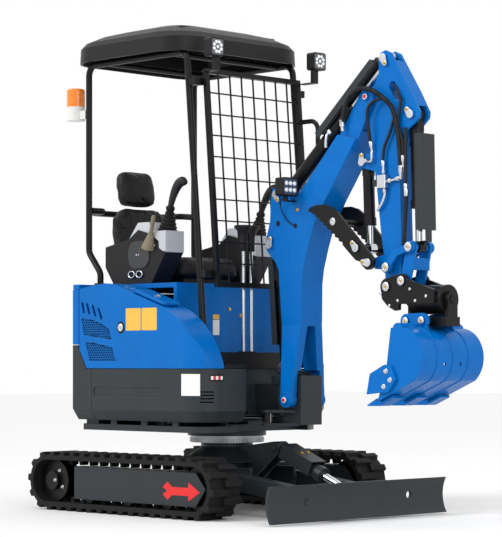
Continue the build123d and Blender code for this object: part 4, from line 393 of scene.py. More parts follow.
# CAD nodes take the record's finishes.
for part in frame["record"]["subparts"]:
    obj = nodes[part["node"]]
    obj.data.materials.clear()
    obj.data.materials.append(looks[part["material_slot"]])


def repaint(node, look, test):
    """A second finish on the faces of a CAD node whose middle passes a test in millimetres."""
    mesh = nodes[node].data
    mesh.materials.append(look)
    index = len(mesh.materials) - 1
    for face in mesh.polygons:
        if test(face.center / MM - Vector((TRACK_X, 0, 0)), face.normal):
            face.material_index = index


FOOT = (626.0, 522.0)
BOOM_BASE = (530.0, 663.0)
BOOM_TOP = (489.0, 1220.0)
ARM_BASE = (530.0, 1445.0)
PIVOT = (1058.0, 1840.0)
ARM_TOP = (1149.0, 2000.0)
BUCKET_BASE = (1305.0, 1745.0)
TIP = (1198.0, 1013.0)
ROCKER_PIN = (1191.0, 1096.0)
ROCKER_TIP = (1318.0, 1179.0)
HITCH_PIN = (1283.0, 1036.0)
THUMB_PIN = (1107.0, 1118.0)
THUMB_TOP = (1024.0, 1560.0)
THUMB_LOW = (1038.0, 1184.0)
THUMB_MID = (902.0, 1304.0)
BOOM_HALF = 68.0
BLADE_BASE, BLADE_LOW = (478.0, 299.0), (892.0, 130.0)
SWING_BASE, SWING_END = (60.0, -225.0, 440.0), (510.0, -105.0, 440.0)
EYE_REACH = 32.0
GUARD_END = 25.0


def along_rod(base, end):
    """Run of a point along a cylinder and its distance from the cylinder's axis, in millimetres."""
    start = Vector(base) if len(base) == 3 else Vector((base[0], 0, base[1]))
    span = (Vector(end) if len(end) == 3 else Vector((end[0], 0, end[1]))) - start
    ahead = span.normalized()

    def measure(p):
        d = p - start
        run = d.dot(ahead)
        return run, (d - ahead * run).length, span.length
    return measure


def dress_rod(node, base, end, radius):
    """Chrome rod, black eye and grey guard."""
    measure = along_rod(base, end)

    def is_eye(p, n):
        run, off, span = measure(p)
        return run > span - EYE_REACH and off > radius + 0.4

    def is_guard(p, n):
        run, off, span = measure(p)
        return run < span - GUARD_END and off > radius + 2.0
    repaint(node, looks["black_paint"], is_eye)
    repaint(node, looks["grey_paint"], is_guard)


dress_rod("boom_cylinder_rod", BOOM_BASE, BOOM_TOP, 17.0)
dress_rod("arm_cylinder_rod", ARM_BASE, ARM_TOP, 17.0)
dress_rod("bucket_cylinder_rod", BUCKET_BASE, ROCKER_TIP, 16.0)
dress_rod("blade_cylinder_rod", BLADE_BASE, BLADE_LOW, 17.0)
dress_rod("swing_cylinder_rod", SWING_BASE, SWING_END, 14.0)

# Pins: a plate and a bolt on the right, a plain head on the left
silver, golden, grease, ring_white = {}, {}, {}, {}
CAP_RING = ((12.5, -0.5), (12.5, 2.0), (9.5, 3.0), (8.5, 2.0))
RED_CAP = ((8.0, -0.4), (8.0, 4.0), (6.5, 7.0), (3.0, 8.5))
PIN_PLATE = 5.0


def pin_set(body, point, half, turn, radius=16.0):
    """Retaining plate at a pin's right end, turned towards its bolt, and a head at its left end."""
    steel = silver.setdefault(body, Shape())
    a = math.radians(turn)
    reach = radius * 1.75
    end_x, end_z = reach * math.cos(a), reach * math.sin(a)
    for sign in (-1, 1):
        face = sign * half
        m = place(at(point[0], face, point[1]), (0, sign, 0))
        lathe(steel, m, ((radius + 2.0, -0.6), (radius + 2.0, 2.5), (radius - 1.0, 4.5),
                         (radius * 0.35, 4.5), (radius * 0.3, 3.0)), 28)
    outline = []
    wide, narrow = radius * 1.15, radius * 0.72
    for k in range(13):
        t = math.radians(90 + 180 * k / 12) + a
        outline.append((wide * math.cos(t), wide * math.sin(t)))
    for k in range(9):
        t = math.radians(-90 + 180 * k / 8) + a
        outline.append((end_x + narrow * math.cos(t), end_z + narrow * math.sin(t)))
    m = Matrix.Translation(at(point[0], -half, point[1])) @ Matrix.Rotation(math.radians(90), 4, "X")
    prism(steel, m, outline, 0.4, 5.2, 1.0)
    bolted_at = at(point[0] + end_x, -half - PIN_PLATE, point[1] + end_z)
    bolt(golden.setdefault(body, Shape()), bolted_at, (0, -1, 0), 6.0)


def plain_pin(body, point, half, radius=16.0):
    """Turned head with a small bolt at both ends of a pin."""
    for sign in (-1, 1):
        m = place(at(point[0], sign * half, point[1]), (0, sign, 0))
        lathe(silver.setdefault(body, Shape()), m,
              ((radius + 4.0, -0.6), (radius + 4.0, 3.0), (radius + 1.0, 5.0), (radius * 0.55, 5.0),
               (radius * 0.5, 3.5)), 32)
        bolt(golden.setdefault(body, Shape()), at(point[0], sign * (half + 3.0), point[1]), (0, sign, 0), 5.0)


def capped_pin(body, point, half, radius):
    """Head on the left end of a pin, and a red cap in a white ring on its right end."""
    m = place(at(point[0], half, point[1]), (0, 1, 0))
    head = ((radius + 5.0, -0.6), (radius + 5.0, 4.0), (radius + 2.0, 6.0))
    lathe(silver.setdefault(body, Shape()), m, head, 32)
    m = place(at(point[0], -half, point[1]), (0, -1, 0))
    lathe(ring_white.setdefault(body, Shape()), m, CAP_RING, 28)
    lathe(grease.setdefault(body, Shape()), m, RED_CAP, 24)


capped_pin("boom", FOOT, 120.0, 20.0)
capped_pin("boom", PIVOT, 60.0, 16.0)
for body, point, half, turn in (("post", BOOM_BASE, 42.0, 60.0), ("boom", BOOM_TOP, 76.0, 70.0),
                                ("boom", ARM_BASE, 76.0, -60.0), ("arm", ARM_TOP, 45.0, -62.0),
                                ("arm", BUCKET_BASE, 45.0, 128.0), ("arm", THUMB_PIN, 96.0, 172.0),
                                ("thumb", THUMB_LOW, 97.0, 128.0), ("arm", THUMB_TOP, 42.0, 90.0)):
    pin_set(body, point, half, turn)
for body, point, half in (("arm", TIP, 81.0), ("arm", ROCKER_PIN, 76.0), ("rocker", ROCKER_TIP, 74.0),
                          ("hitch", HITCH_PIN, 80.0)):
    plain_pin(body, point, half)
for x, z in ((1324.0, 863.0), (1412.0, 865.0)):
    plain_pin("bucket", (x, z), 98.0, 13.0)
for y_sign in (-1, 1):
    m = place(at(THUMB_MID[0], 96.0 * y_sign, THUMB_MID[1]), (0, y_sign, 0))
    lathe(silver["thumb"], m, ((17.0, -4.0), (17.0, 3.0), (14.0, 5.0), (6.0, 5.0), (5.0, 2.0)), 28)
bolt(golden["boom"], at(661.0, -BOOM_HALF, 1370.0), (0, -1, 0), 6.5)
HITCH_HALF, BUCKET_HALF = 75.0, 214.0
for x, z in ((1165.0, 985.0), (1215.0, 932.0), (1262.0, 952.0), (1330.0, 1000.0), (1360.0, 950.0),
             (1420.0, 968.0)):
    for y_sign in (-1, 1):
        screw(silver["hitch"], at(x, HITCH_HALF * y_sign, z), (0, y_sign, 0), 7.0)
for x, z in ((1318.0, 652.0), (1341.0, 615.0), (1306.0, 587.0)):
    for y_sign in (-1, 1):
        bolt(silver["bucket"], at(x, BUCKET_HALF * y_sign, z), (0, y_sign, 0), 9.0)


def on_face(node, start, ahead):
    """Where a line in millimetres first meets a CAD node, with the surface's outward direction."""
    _, where, normal, _ = nodes[node].ray_cast(start * MM, Vector(ahead))
    return where / MM, normal


def fasten(body, node, start, ahead, shapes):
    """Bolt on a CAD node where a line meets it."""
    where, normal = on_face(node, start, ahead)
    bolt(shapes.setdefault(body, Shape()), where, normal)


AHEAD_OF_BOX, BESIDE_TRACKS, ABOVE_BLADE, ABOVE_LID = 300.0, 700.0, 500.0, 1200.0
for y, z in ((-28.0, 936.0), (44.0, 908.0)):
    fasten("house", "seat_box", at(AHEAD_OF_BOX, y, z), (-1, 0, 0), golden)
SPROCKET_X, SPROCKET_Z, SPROCKET_RING = -430.0, 150.0, 45.0
for y_sign in (-1, 1):
    for turn in (135, 195, 255):
        a = math.radians(turn)
        x, z = SPROCKET_X + SPROCKET_RING * math.cos(a), SPROCKET_Z + SPROCKET_RING * math.sin(a)
        fasten("undercarriage", "drive_sprockets", at(x, BESIDE_TRACKS * y_sign, z), (0, -y_sign, 0), silver)
for y in (-20.0, 20.0):
    fasten("blade_barrel", "blade_cylinder_barrel", at(640.0, y, ABOVE_BLADE), (0, 0, -1), golden)
BOOM_HOLE = (539.0, 1314.0)
hole_shade_disc = Shape()
# Dark disc in each side of the boom's through hole: painted shade of the hole's inside.
for y_sign in (-1, 1):
    lathe(hole_shade_disc, place(at(BOOM_HOLE[0], (BOOM_HALF - 0.3) * y_sign, BOOM_HOLE[1]), (0, y_sign, 0)),
          ((13.0, -0.5), (13.0, 0.8), (10.5, 1.4), (10.0, 0.6)), 24)
piece("boom_hole_shade", hole_shade_disc, "boom", black_seal_and_shade)
lid_lock = Shape()
LID_LOCK = ((16.0, -0.5), (16.0, 3.0), (13.0, 5.0), (9.0, 5.0), (8.5, 2.5), (3.0, 2.5))
lathe(lid_lock, place(*on_face("fuel_lid", at(143.0, -440.0, ABOVE_LID), (0, 0, -1))), LID_LOCK, 28)
piece("fuel_lid_lock", lid_lock, "fuel_lid", looks["chrome_rod"])

# House: plates, reflector, lock and grilles
HOUSE_SIDE = -500.0
BOX_FACE = 180.4
LABEL_Y = -113.0
plates = Shape()
for x0, x1 in ((-7.0, 95.0), (101.0, 203.0)):
    m = Matrix.Translation(at((x0 + x1) / 2, HOUSE_SIDE, 884.0)) @ Matrix.Rotation(math.radians(90), 4, "X")
    prism(plates, m, rounded(x1 - x0, 101.0, 5.0), -0.2, 0.9, 0.3)
prism(plates, place(at(BOX_FACE, LABEL_Y, 899.0), (1, 0, 0)), rounded(40.0, 22.0, 3.0), -0.2, 0.8, 0.2)
piece("yellow_plates", plates, "house", yellow_film)


CORNER_X, CORNER_Y, CORNER_RADIUS = 370.0, -370.0, 130.0


def corner_patch(shape, radius, thick, from_deg, to_deg, low, high, steps=14):
    """Thin curved plate on the house's front right corner."""
    loops = []
    for k in range(steps + 1):
        a = math.radians(from_deg + (to_deg - from_deg) * k / steps)
        ends = [(radius - 0.2, low), (radius + thick, low), (radius + thick, high), (radius - 0.2, high)]
        loops.append([at(CORNER_X + r * math.cos(a), CORNER_Y + r * math.sin(a), z) for r, z in ends])
    rings(shape, loops)


white_plate = Shape()
corner_patch(white_plate, CORNER_RADIUS, 0.9, -92.0, -50.0, 542.0, 638.0)
prism(white_plate, place(at(BOX_FACE, LABEL_Y, 850.0), (1, 0, 0)), rounded(40.0, 70.0, 3.0), -0.2, 0.8, 0.2)
piece("white_plates", white_plate, "house", white_film)
strip_back, strip_red, strip_white = Shape(), Shape(), Shape()
corner_patch(strip_back, CORNER_RADIUS, 1.2, -31.0, -1.0, 606.0, 636.0)
for k in range(5):
    start = -29.0 + 5.2 * k
    stripe = strip_red if k % 2 else strip_white
    corner_patch(stripe, CORNER_RADIUS + 1.0, 1.4, start, start + 4.6, 613.0, 629.0, 4)
piece("reflector_back", strip_back, "house", black_seal_and_shade)
piece("reflector_red", strip_red, "house", red_paint)
piece("reflector_white", strip_white, "house", white_film)

lock_ring, lock_core = Shape(), Shape()
m = place(at(-43.0, -496.0, 848.0), (0, -1, 0))
lathe(lock_ring, m, ((26.0, -0.5), (26.0, 4.0), (23.0, 7.0), (18.5, 7.5), (18.0, 3.0)), 36)
lathe(lock_core, m, ((18.0, 2.0), (18.0, 7.0), (16.0, 8.5), (3.0, 8.5), (2.4, 5.0)), 36)
piece("lock_ring", lock_ring, "house", black_seal_and_shade)
piece("lock_core", lock_core, "house", aluminium)


def inside(point, outline, margin):
    """True where a point lies in an outline, at least a margin from its edges."""
    x, y = point
    crossings = False
    for (x0, y0), (x1, y1) in zip(outline, outline[1:] + outline[:1]):
        if (y0 > y) != (y1 > y) and x < (x1 - x0) * (y - y0) / (y1 - y0) + x0:
            crossings = not crossings
        d = Vector((x1 - x0, y1 - y0))
        t = max(0.0, min(1.0, ((x - x0) * d.x + (y - y0) * d.y) / d.length_squared))
        if math.hypot(x - x0 - d.x * t, y - y0 - d.y * t) < margin:
            return False
    return crossings


UPPER_GRILLE = [(-321.0, 895.0), (-241.0, 886.0), (-168.0, 863.0), (-127.0, 844.0), (-107.0, 794.0),
                (-303.0, 816.0)]
LOWER_GRILLE = [(-292.0, 783.0), (-229.0, 779.0), (-103.0, 758.0), (-79.0, 696.0), (-262.0, 696.0)]
honeycomb, grille_shade_sheet = Shape(), Shape()
CELL = 12.5
CELL_BACK, CELL_FACE = -494.8, -499.0
WALL_OUT, WALL_IN = CELL * 0.59, CELL * 0.42
GRID = 30
for outline in (UPPER_GRILLE, LOWER_GRILLE):
    # Black sheet behind the cells: painted shade seen through the grille's openings.
    back = [at(x, -494.3, z) for x, z in outline]
    front = [at(x, -495.0, z) for x, z in outline]
    rings(grille_shade_sheet, [back, front])
    for row in range(GRID):
        for column in range(GRID):
            x = -330.0 + CELL * (column + 0.5 * (row % 2))
            z = 690.0 + CELL * 0.866 * row
            if not inside((x, z), outline, 4.0):
                continue
            loops = []
            for r, y in ((WALL_OUT, CELL_BACK), (WALL_OUT, CELL_FACE),
                         (WALL_IN, CELL_FACE), (WALL_IN, CELL_BACK)):
                loops.append([at(x + dx, y, z + dz) for dx, dz in around(r, 6, 30.0)])
            rings(honeycomb, loops + loops[:1], False)
piece("grille_mesh", honeycomb, "house", looks["blue_paint"], 20.0)
piece("grille_shade_sheet", grille_shade_sheet, "house", black_seal_and_shade)

# Side panel under the seat's deck on the left, with a raised field
PANEL_LONG, PANEL_TALL, PANEL_THICK = 268.0, 363.0, 7.0
FIELD_LONG, FIELD_TALL, FIELD_THICK = 206.0, 296.0, 9.4
SCREW_X, SCREW_Z = 118.0, 164.0
side_panel, panel_screws = Shape(), Shape()
panel_middle = at(26.0, 348.0, 849.5)
m = place(panel_middle, (0, 1, 0))
prism(side_panel, m, rounded(PANEL_LONG, PANEL_TALL, 6.0), 0.0, PANEL_THICK, 1.5)
prism(side_panel, m, rounded(FIELD_LONG, FIELD_TALL, 20.0), PANEL_THICK - 0.2, FIELD_THICK, 2.0)
for x in (-SCREW_X, SCREW_X):
    for z in (-SCREW_Z, SCREW_Z):
        screw(panel_screws, panel_middle + Vector((x, PANEL_THICK, z)), (0, 1, 0), 6.0)
piece("seat_side_panel", side_panel, "house", looks["blue_paint"])
piece("side_panel_screws", panel_screws, "house", aluminium)

# Seat
SWELL_FRAMES, SWELL_PRESSURE = 20, 4.0


def cushion(name, sections, voxel, cap):
    """Stuffed piece from stacked rounded sections, swelled by a cloth simulation."""
    shape = Shape()
    loops = []
    for m, width, depth, radius in sections:
        loops.append([m @ Vector((x, y, 0)) for x, y in rounded(width, depth, radius, 6)])
    rings(shape, loops)
    obj = piece(name, shape, None, looks["seat_vinyl"])
    remesh = obj.modifiers.new("even", "REMESH")
    remesh.mode = "VOXEL"
    remesh.voxel_size = voxel
    bpy.context.view_layer.objects.active = obj
    obj.select_set(True)
    bpy.ops.object.modifier_apply(modifier="even")
    rest = [v.co.copy() for v in obj.data.vertices]
    cloth = obj.modifiers.new("swell", "CLOTH")
    cloth.settings.use_pressure = True
    cloth.settings.uniform_pressure_force = SWELL_PRESSURE
    cloth.settings.effector_weights.gravity = 0.0
    cloth.settings.quality = 4
    cloth.point_cache.frame_start = 1
    cloth.point_cache.frame_end = SWELL_FRAMES
    for f in range(1, SWELL_FRAMES + 1):
        bpy.context.scene.frame_set(f)
    bpy.ops.object.modifier_apply(modifier="swell")
    bpy.context.scene.frame_set(1)
    for v, start in zip(obj.data.vertices, rest):
        moved = v.co - start
        if moved.length > cap:
            v.co = start + moved * (cap / moved.length)
    return obj


def sewn(obj, line, depth, inward):
    """Presses a sewn channel into a cushion; line measures a point's distance from the seam."""
    for v in obj.data.vertices:
        p = v.co / MM
        d = line(p)
        if abs(d) < 3 * SEAM_WIDTH:
            v.co += inward(p) * MM * depth * math.exp(-(d / SEAM_WIDTH) ** 2)


def stacked(origin, along, across, rows):
    """Sections along a direction: (height, width, depth, corner)."""
    x, z = Vector(across).normalized(), Vector(along).normalized()
    base = Matrix((x, z.cross(x), z)).transposed().to_4x4()
    found = []
    for height, width, depth, corner in rows:
        m = base.copy()
        m.translation = Vector(origin) + z * height
        found.append((m, width, depth, corner))
    return found


low, high = (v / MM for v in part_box("seat_cushion"))
middle = (low + high) / 2
size = high - low
rows = ((4, size.y - 60, size.x - 60, 40), (12, size.y - 30, size.x - 34, 52),
        (30, size.y - 22, size.x - 26, 60), (62, size.y - 22, size.x - 26, 60),
        (80, size.y - 40, size.x - 44, 56), (86, size.y - 80, size.x - 90, 46))
SEAT_SEAM, SEAT_CROSS_SEAM, BACK_SEAM, SEAM_WIDTH = 85.0, 60.0, 95.0, 5.0
seat = cushion("seat_pad", stacked((middle.x, 0, low.z), (0, 0, 1), (0, 1, 0), rows), 0.006, 0.010)
sewn(seat, lambda p: abs(p.y) - SEAT_SEAM, 7.0, lambda p: Vector((0, 0, -1 if p.z > middle.z else 0)))
sewn(seat, lambda p: p.x - middle.x + SEAT_CROSS_SEAM, 5.0,
     lambda p: Vector((0, 0, -1 if p.z > middle.z and abs(p.y) < SEAT_SEAM else 0)))
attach(seat, "house")
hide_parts("seat_cushion")

low, high = (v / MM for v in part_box("seat_back"))
lean = math.radians(10.0)
up = Vector((-math.sin(lean), 0, math.cos(lean)))
tall = (high.z - low.z) / math.cos(lean) - 16
thick = 78.0
foot_point = Vector((high.x - thick / 2 - 2, 0, low.z + 6))
rows = ((2, 260, thick - 30, 20), (16, 320, thick - 12, 30), (60, 352, thick - 6, 34),
        (tall * 0.5, 356, thick - 4, 36), (tall * 0.78, 330, thick - 10, 32),
        (tall - 14, 250, thick - 22, 26), (tall - 4, 190, thick - 44, 14))
back = cushion("seat_backrest", stacked(foot_point, up, (0, 1, 0), rows), 0.006, 0.008)


def into_back(p):
    """Direction in which the seams of the backrest's front sink."""
    front = p.x > foot_point.x - (p.z - foot_point.z) * math.tan(lean)
    return Vector((-1 if front else 0, 0, 0))


sewn(back, lambda p: abs(p.y) - BACK_SEAM, 6.0, into_back)
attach(back, "house")
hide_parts("seat_back")

low, high = (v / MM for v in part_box("headrest"))
middle = (low + high) / 2
tall = high.z - low.z - 6
rows = ((3, 150, 44, 16), (12, 190, 66, 26), (40, 210, 76, 32), (tall * 0.6, 214, 78, 34),
        (tall - 26, 200, 70, 30), (tall - 10, 180, 56, 24), (tall - 2, 150, 34, 12))
head = cushion("head_pad", stacked((middle.x + 10.0, 0, low.z + 2), up, (0, 1, 0), rows), 0.005, 0.006)
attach(head, "house")
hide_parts("headrest")

# Consoles: silver shells, side plates, a tan lever and chrome loops
CONSOLE_SHELL = [(-160, 1262), (-100, 1335), (-22, 1335), (1, 1292), (93, 1292), (93, 1193), (70, 1197),
                 (48, 1210), (45, 1244), (-6, 1278), (-40, 1289), (-96, 1303)]
SHELL_MIDDLE, SHELL_LONG, SHELL_TALL = 1255, 400, 60
CONSOLE_IN, CONSOLE_OUT = 235.0, 345.0
shells, side_plates, side_screws = Shape(), Shape(), Shape()
for y_sign in (-1, 1):
    y_mid = y_sign * (CONSOLE_IN + CONSOLE_OUT) / 2
    half = (CONSOLE_OUT - CONSOLE_IN) / 2 + 2.0
    loops = []
    for y, inset in ((-half, 3.0), (3.0 - half, 0.0), (half - 3.0, 0.0), (half, 3.0)):
        across, upward = 1 - inset / SHELL_LONG, 1 - inset / SHELL_TALL
        loops.append([at(x * across, y_mid + y, SHELL_MIDDLE + (z - SHELL_MIDDLE) * upward)
                      for x, z in CONSOLE_SHELL])
    rings(shells, loops)
    out = y_sign * CONSOLE_OUT
    m = place(at(-92.0, out, 1186.0), (0, y_sign, 0))
    prism(side_plates, m, rounded(146.0, 128.0, 52.0, 8), -0.4, 5.0, 2.0)
    for x, raised, z in ((-104.0, 5.0, 1186.0), (-90.0, 5.0, 1186.0), (15.0, 0.0, 1226.0),
                         (-150.0, 0.0, 1226.0)):
        screw(side_screws, at(x, out + y_sign * raised, z), (0, y_sign, 0), 4.5)
    for y, z in ((-32.0, 1203.0), (32.0, 1284.0)):
        screw(side_screws, at(93.0, y_mid + y, z), (1, 0, 0), 3.5)
piece("console_shells", shells, "house", silver_plastic)
piece("console_side_plates", side_plates, "house", plate_grey)
tan_boot, tan_stem = Shape(), Shape()
boot_foot, boot_tip = at(-20.0, -350.0, 1218.0), at(44.0, -376.0, 1360.0)
lever_length = (boot_tip - boot_foot).length
m = place(boot_foot, boot_tip - boot_foot)
profile = [(33.0, -4.0)]
for k in range(5):
    profile += [(32.0 - 4.0 * k, 4.0 + 13.0 * k), (29.0 - 4.0 * k, 13.0 + 13.0 * k)]
lathe(tan_boot, m, profile + [(11.0, 74.0)], 28)
lathe(tan_stem, m, ((9.0, 70.0), (9.5, 120.0), (10.0, lever_length - 6), (7.0, lever_length)), 16)
piece("tan_boot", tan_boot, "house", tan_rubber)
piece("tan_lever", tan_stem, "house", tan_rubber)
loops_chrome = Shape()
for x in (-138.0, -84.0):
    turns = [math.radians(20 * k) for k in range(19)]
    hoop = [at(x + 21.0 * math.cos(a), -351.0, 1096.0 + 15.0 * math.sin(a)) for a in turns]
    tube(loops_chrome, hoop, 3.6, 10, smooth=False)
piece("console_hoops", loops_chrome, "house", looks["chrome_rod"])
piece("console_screws", side_screws, "house", aluminium)

# Joysticks: bellows, stem and curved grip
boots, grips = Shape(), Shape()
for y_sign in (-1, 1):
    foot_at = at(44.0, 290.0 * y_sign, 1288.0)
    boot_end = at(66.0, 292.0 * y_sign, 1404.0)
    m = place(foot_at, boot_end - foot_at)
    profile = [(44.0, 0.0)]
    for k in range(6):
        h = 6.0 + k * 16.0
        r = 45.0 - k * 4.6
        profile += [(r, h), (r + 1.0, h + 4.0), (r - 6.0, h + 11.0)]
    lathe(boots, m, profile + [(20.0, 103.0), (21.0, 114.0), (17.0, 120.0)], 28)
    path = [boot_end, at(84, 294 * y_sign, 1446), at(108, 296 * y_sign, 1484), at(134, 298 * y_sign, 1508),
            at(158, 298 * y_sign, 1514), at(172, 298 * y_sign, 1504)]
    tube(grips, path, lambda s: 13.0 + 9.0 * min(1.0, s * 1.4) - 9.0 * max(0.0, s - 0.9) / 0.1, 20)
piece("joystick_boots", boots, "house", black_seal_and_shade)
sticks = piece("joystick_grips", grips, "house", grip_black)
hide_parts("joysticks")

# Travel levers: chrome rods under mushroom knobs, and ribbed pedals
low, high = (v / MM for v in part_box("travel_levers"))
LEVER_X, LEVER_YS, LEVER_RADIUS = 290.0, (-45.0, 5.0), 9
KNOB = ((18.0, 0.0), (19.0, 24.0), (27.0, 50.0), (42.0, 66.0), (43.0, 72.0), (40.0, 77.0), (12.0, 78.0))


def is_lever(p, n):
    """Upright faces of a lever's rod, below its knob."""
    off = min(math.hypot(p.x - LEVER_X, p.y - y) for y in LEVER_YS)
    return p.z < high.z - 100 and abs(n.z) < 0.5 and off < LEVER_RADIUS


repaint("travel_levers", looks["chrome_rod"], is_lever)
knobs, ribs = Shape(), Shape()
for y in LEVER_YS:
    lathe(knobs, place(at(LEVER_X, y, high.z - KNOB[-1][1]), (0, 0, 1)), KNOB, 28)
for y in (-140.0, 120.0):
    for k in range(6):
        box(ribs, at(308.0 + 14 * k, y - 32, low.z + 39.5), at(314.0 + 14 * k, y + 32, low.z + 43), 1.0)
piece("lever_knobs", knobs, "house", grip_black)
piece("pedal_ribs", ribs, "house", grip_black)

# Lamps
leds, lens, fins, cups = Shape(), Shape(), Shape(), Shape()
LAMP_X, LAMP_Y, LAMP_Z = 395.0, 330.0, 2096.0
for y_sign in (-1, 1):
    face = at(LAMP_X + 23.0, LAMP_Y * y_sign, LAMP_Z)
    m = place(face, (1, 0, 0))
    prism(lens, m, rounded(70.0, 70.0, 9.0), -0.4, 1.6, 0.8)
    for x, y in [(0.0, 0.0)] + around(23.0, 8, 22.5):
        spot = m @ Matrix.Translation((x, y, 1.4))
        lathe(cups, spot, ((8.6, -0.4), (8.6, 1.2), (7.4, 2.0), (6.4, 1.0)), 20)
        lathe(leds, spot, ((6.4, 0.2), (6.0, 1.8), (3.5, 3.2), (1.0, 3.6)), 20)
    for k in range(6):
        z = LAMP_Z - 30.0 + 12.0 * k
        box(fins, at(LAMP_X - 31.0, LAMP_Y * y_sign - 34.0, z),
            at(LAMP_X - 22.5, LAMP_Y * y_sign + 34.0, z + 4.0))
    bolt(golden.setdefault("house", Shape()), at(LAMP_X, (LAMP_Y - 12.0) * y_sign, 2018.0), (0, 0, -1), 6.0)
low, high = (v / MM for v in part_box("boom_lamp"))
lamp_cups, lamp_leds, lamp_lens = Shape(), Shape(), Shape()
face = Vector((high.x, low.y + 46.0, high.z - 41.0))
prism(lamp_lens, place(face, (1, 0, 0)), rounded(82.0, 70.0, 9.0), -0.4, 1.4, 0.7)
for k in range(6):
    spot = place(face + Vector((1.2, 25.0 * (k % 3 - 1), 15.0 if k > 2 else -15.0)), (1, 0, 0))
    lathe(lamp_cups, spot, ((11.5, -0.4), (11.5, 1.0), (10.0, 1.8), (8.5, 1.0)), 24)
    lathe(lamp_leds, spot, ((8.5, 0.4), (8.0, 1.6), (4.0, 2.8), (1.0, 3.1)), 20)
piece("boom_lamp_cups", lamp_cups, "boom", aluminium)
piece("boom_lamp_leds", lamp_leds, "boom", led_white)
piece("boom_lamp_lens", lamp_lens, "boom", lens_glass)
piece("lamp_lenses", lens, "house", lens_glass)
piece("lamp_leds", leds, "house", led_white)
piece("lamp_fins", fins, "house", looks["black_plastic"])
piece("lamp_cups", cups, "house", aluminium)


# Hoses
def hose_between(name, a, b, start, end, build, look):
    """Piece that spans a joint, built once and left on no body."""
    shape = Shape()
    build(shape)
    obj = piece(name, shape, None, look)
    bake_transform(obj)


def route(*points):
    """Points of a hose in the frame."""
    return [at(*p) for p in points]


SPRING = route((936, -72, 1728), (940, -74, 1752), (952, -76, 1791), (974, -78, 1837), (1012, -78, 1864),
               (1062, -78, 1873), (1118, -76, 1859), (1173, -70, 1824), (1210, -62, 1788), (1228, -58, 1745),
               (1241, -56, 1693), (1250, -54, 1623), (1256, -53, 1553), (1258, -52, 1500))
bend = (at(1000, -70, 1864), at(1215, -60, 1780))
hose_between("spring_hose", "boom", "arm", *bend, lambda s: tube(s, SPRING, 8.5), hose_rubber)
hose_between("spring_hose_wrap", "boom", "arm", *bend, lambda s: coil(s, SPRING, 9.6, 1.7, 7.5),
             spring_steel)
HOSE_B = route((1163, -60, 1824), (1119, -66, 1815), (1092, -70, 1794), (1082, -71, 1762), (1085, -68, 1715),
               (1088, -62, 1668), (1092, -54, 1618))
arm_hoses = Shape()
tube(arm_hoses, HOSE_B, 7.0)
HOSE_C = route((1214, -48, 1730), (1209, -50, 1706), (1191, -52, 1661), (1166, -52, 1616), (1157, -52, 1570),
               (1159, -52, 1530))
tube(arm_hoses, HOSE_C, 6.5)
HOSE_D = route((1205, 0, 1880), (1217, -30, 1872), (1236, -48, 1847), (1256, -50, 1809), (1250, -50, 1763),
               (1241, -50, 1717), (1253, -50, 1670), (1268, -50, 1623), (1270, -50, 1545))
tube(arm_hoses, HOSE_D, 6.5)
HOSE_E = route((1276, -46, 1690), (1284, -48, 1640), (1283, -50, 1599), (1285, -50, 1507), (1285, -50, 1424))
tube(arm_hoses, HOSE_E, 7.0)
piece("arm_hoses", arm_hoses, "arm", hose_rubber)

crimps = Shape()
for path in (HOSE_B, HOSE_C, HOSE_D, HOSE_E):
    m = place(path[-1], path[-1] - path[-2])
    lathe(crimps, m, ((8.0, -26.0), (9.4, -24.0), (9.4, -4.0), (7.0, 0.0), (5.5, 16.0), (5.5, 24.0)), 18)
m = place(SPRING[-1], (0, 0, -1))
lathe(crimps, m, ((9.0, -30.0), (11.5, -28.0), (11.5, -2.0), (8.0, 4.0), (6.0, 30.0)), 18)
tube(crimps, [at(1092, -54, 1600), at(1093, -54, 1570), at(1085, -52, 1556), at(1062, -48, 1560)], 5.5)
lathe(crimps, place(at(1060, -44, 1562), (0, -1, 0)), ((13.0, 0.0), (13.0, 14.0), (9.0, 20.0)), 6)
tube(crimps, [at(1175, -50, 1466), at(1215, -50, 1470), at(1250, -50, 1478), at(1258, -51, 1496)], 6.0)
tube(crimps, [at(1163, -52, 1440), at(1168, -52, 1412), at(1150, -52, 1372), at(1122, -48, 1344)], 6.5)
for p, d in (((1160, -52, 1508), (0, 0, 1)), ((1166, -52, 1424), (0, 0, -1)), ((1196, -50, 1468), (1, 0, 0)),
             ((1240, -50, 1474), (1, 0, 0))):
    prism(crimps, place(at(*p), d), around(10.5, 6), -7.0, 7.0, 1.5)
block = Shape()
box(block, at(1132, -66, 1436), at(1180, -38, 1496), 2.5)
piece("valve_block", block, "arm", aluminium)
bracket = Shape()
box(bracket, at(1090, -46, 1448), at(1134, -38, 1478), 2.0)
piece("valve_bracket", bracket, "arm", looks["grey_paint"])
SPIRAL = route((1288, -50, 1400), (1288, -50, 1377), (1283, -50, 1290), (1277, -50, 1216), (1273, -50, 1182))
sway = (SPIRAL[1], SPIRAL[-1])
hose_between("hitch_hoses", "arm", "rocker", *sway, lambda s: tube(s, SPIRAL, 7.5), hose_rubber)
hose_between("hitch_hose_wrap", "arm", "rocker", *sway, lambda s: coil(s, SPIRAL, 8.0, 2.6, 13.0),
             hose_rubber)
m = place(SPIRAL[0], (0, 0, 1))
lathe(crimps, m, ((8.5, -4.0), (10.5, 0.0), (10.5, 22.0), (8.0, 30.0)), 18)
piece("arm_fittings", crimps, "arm", aluminium)

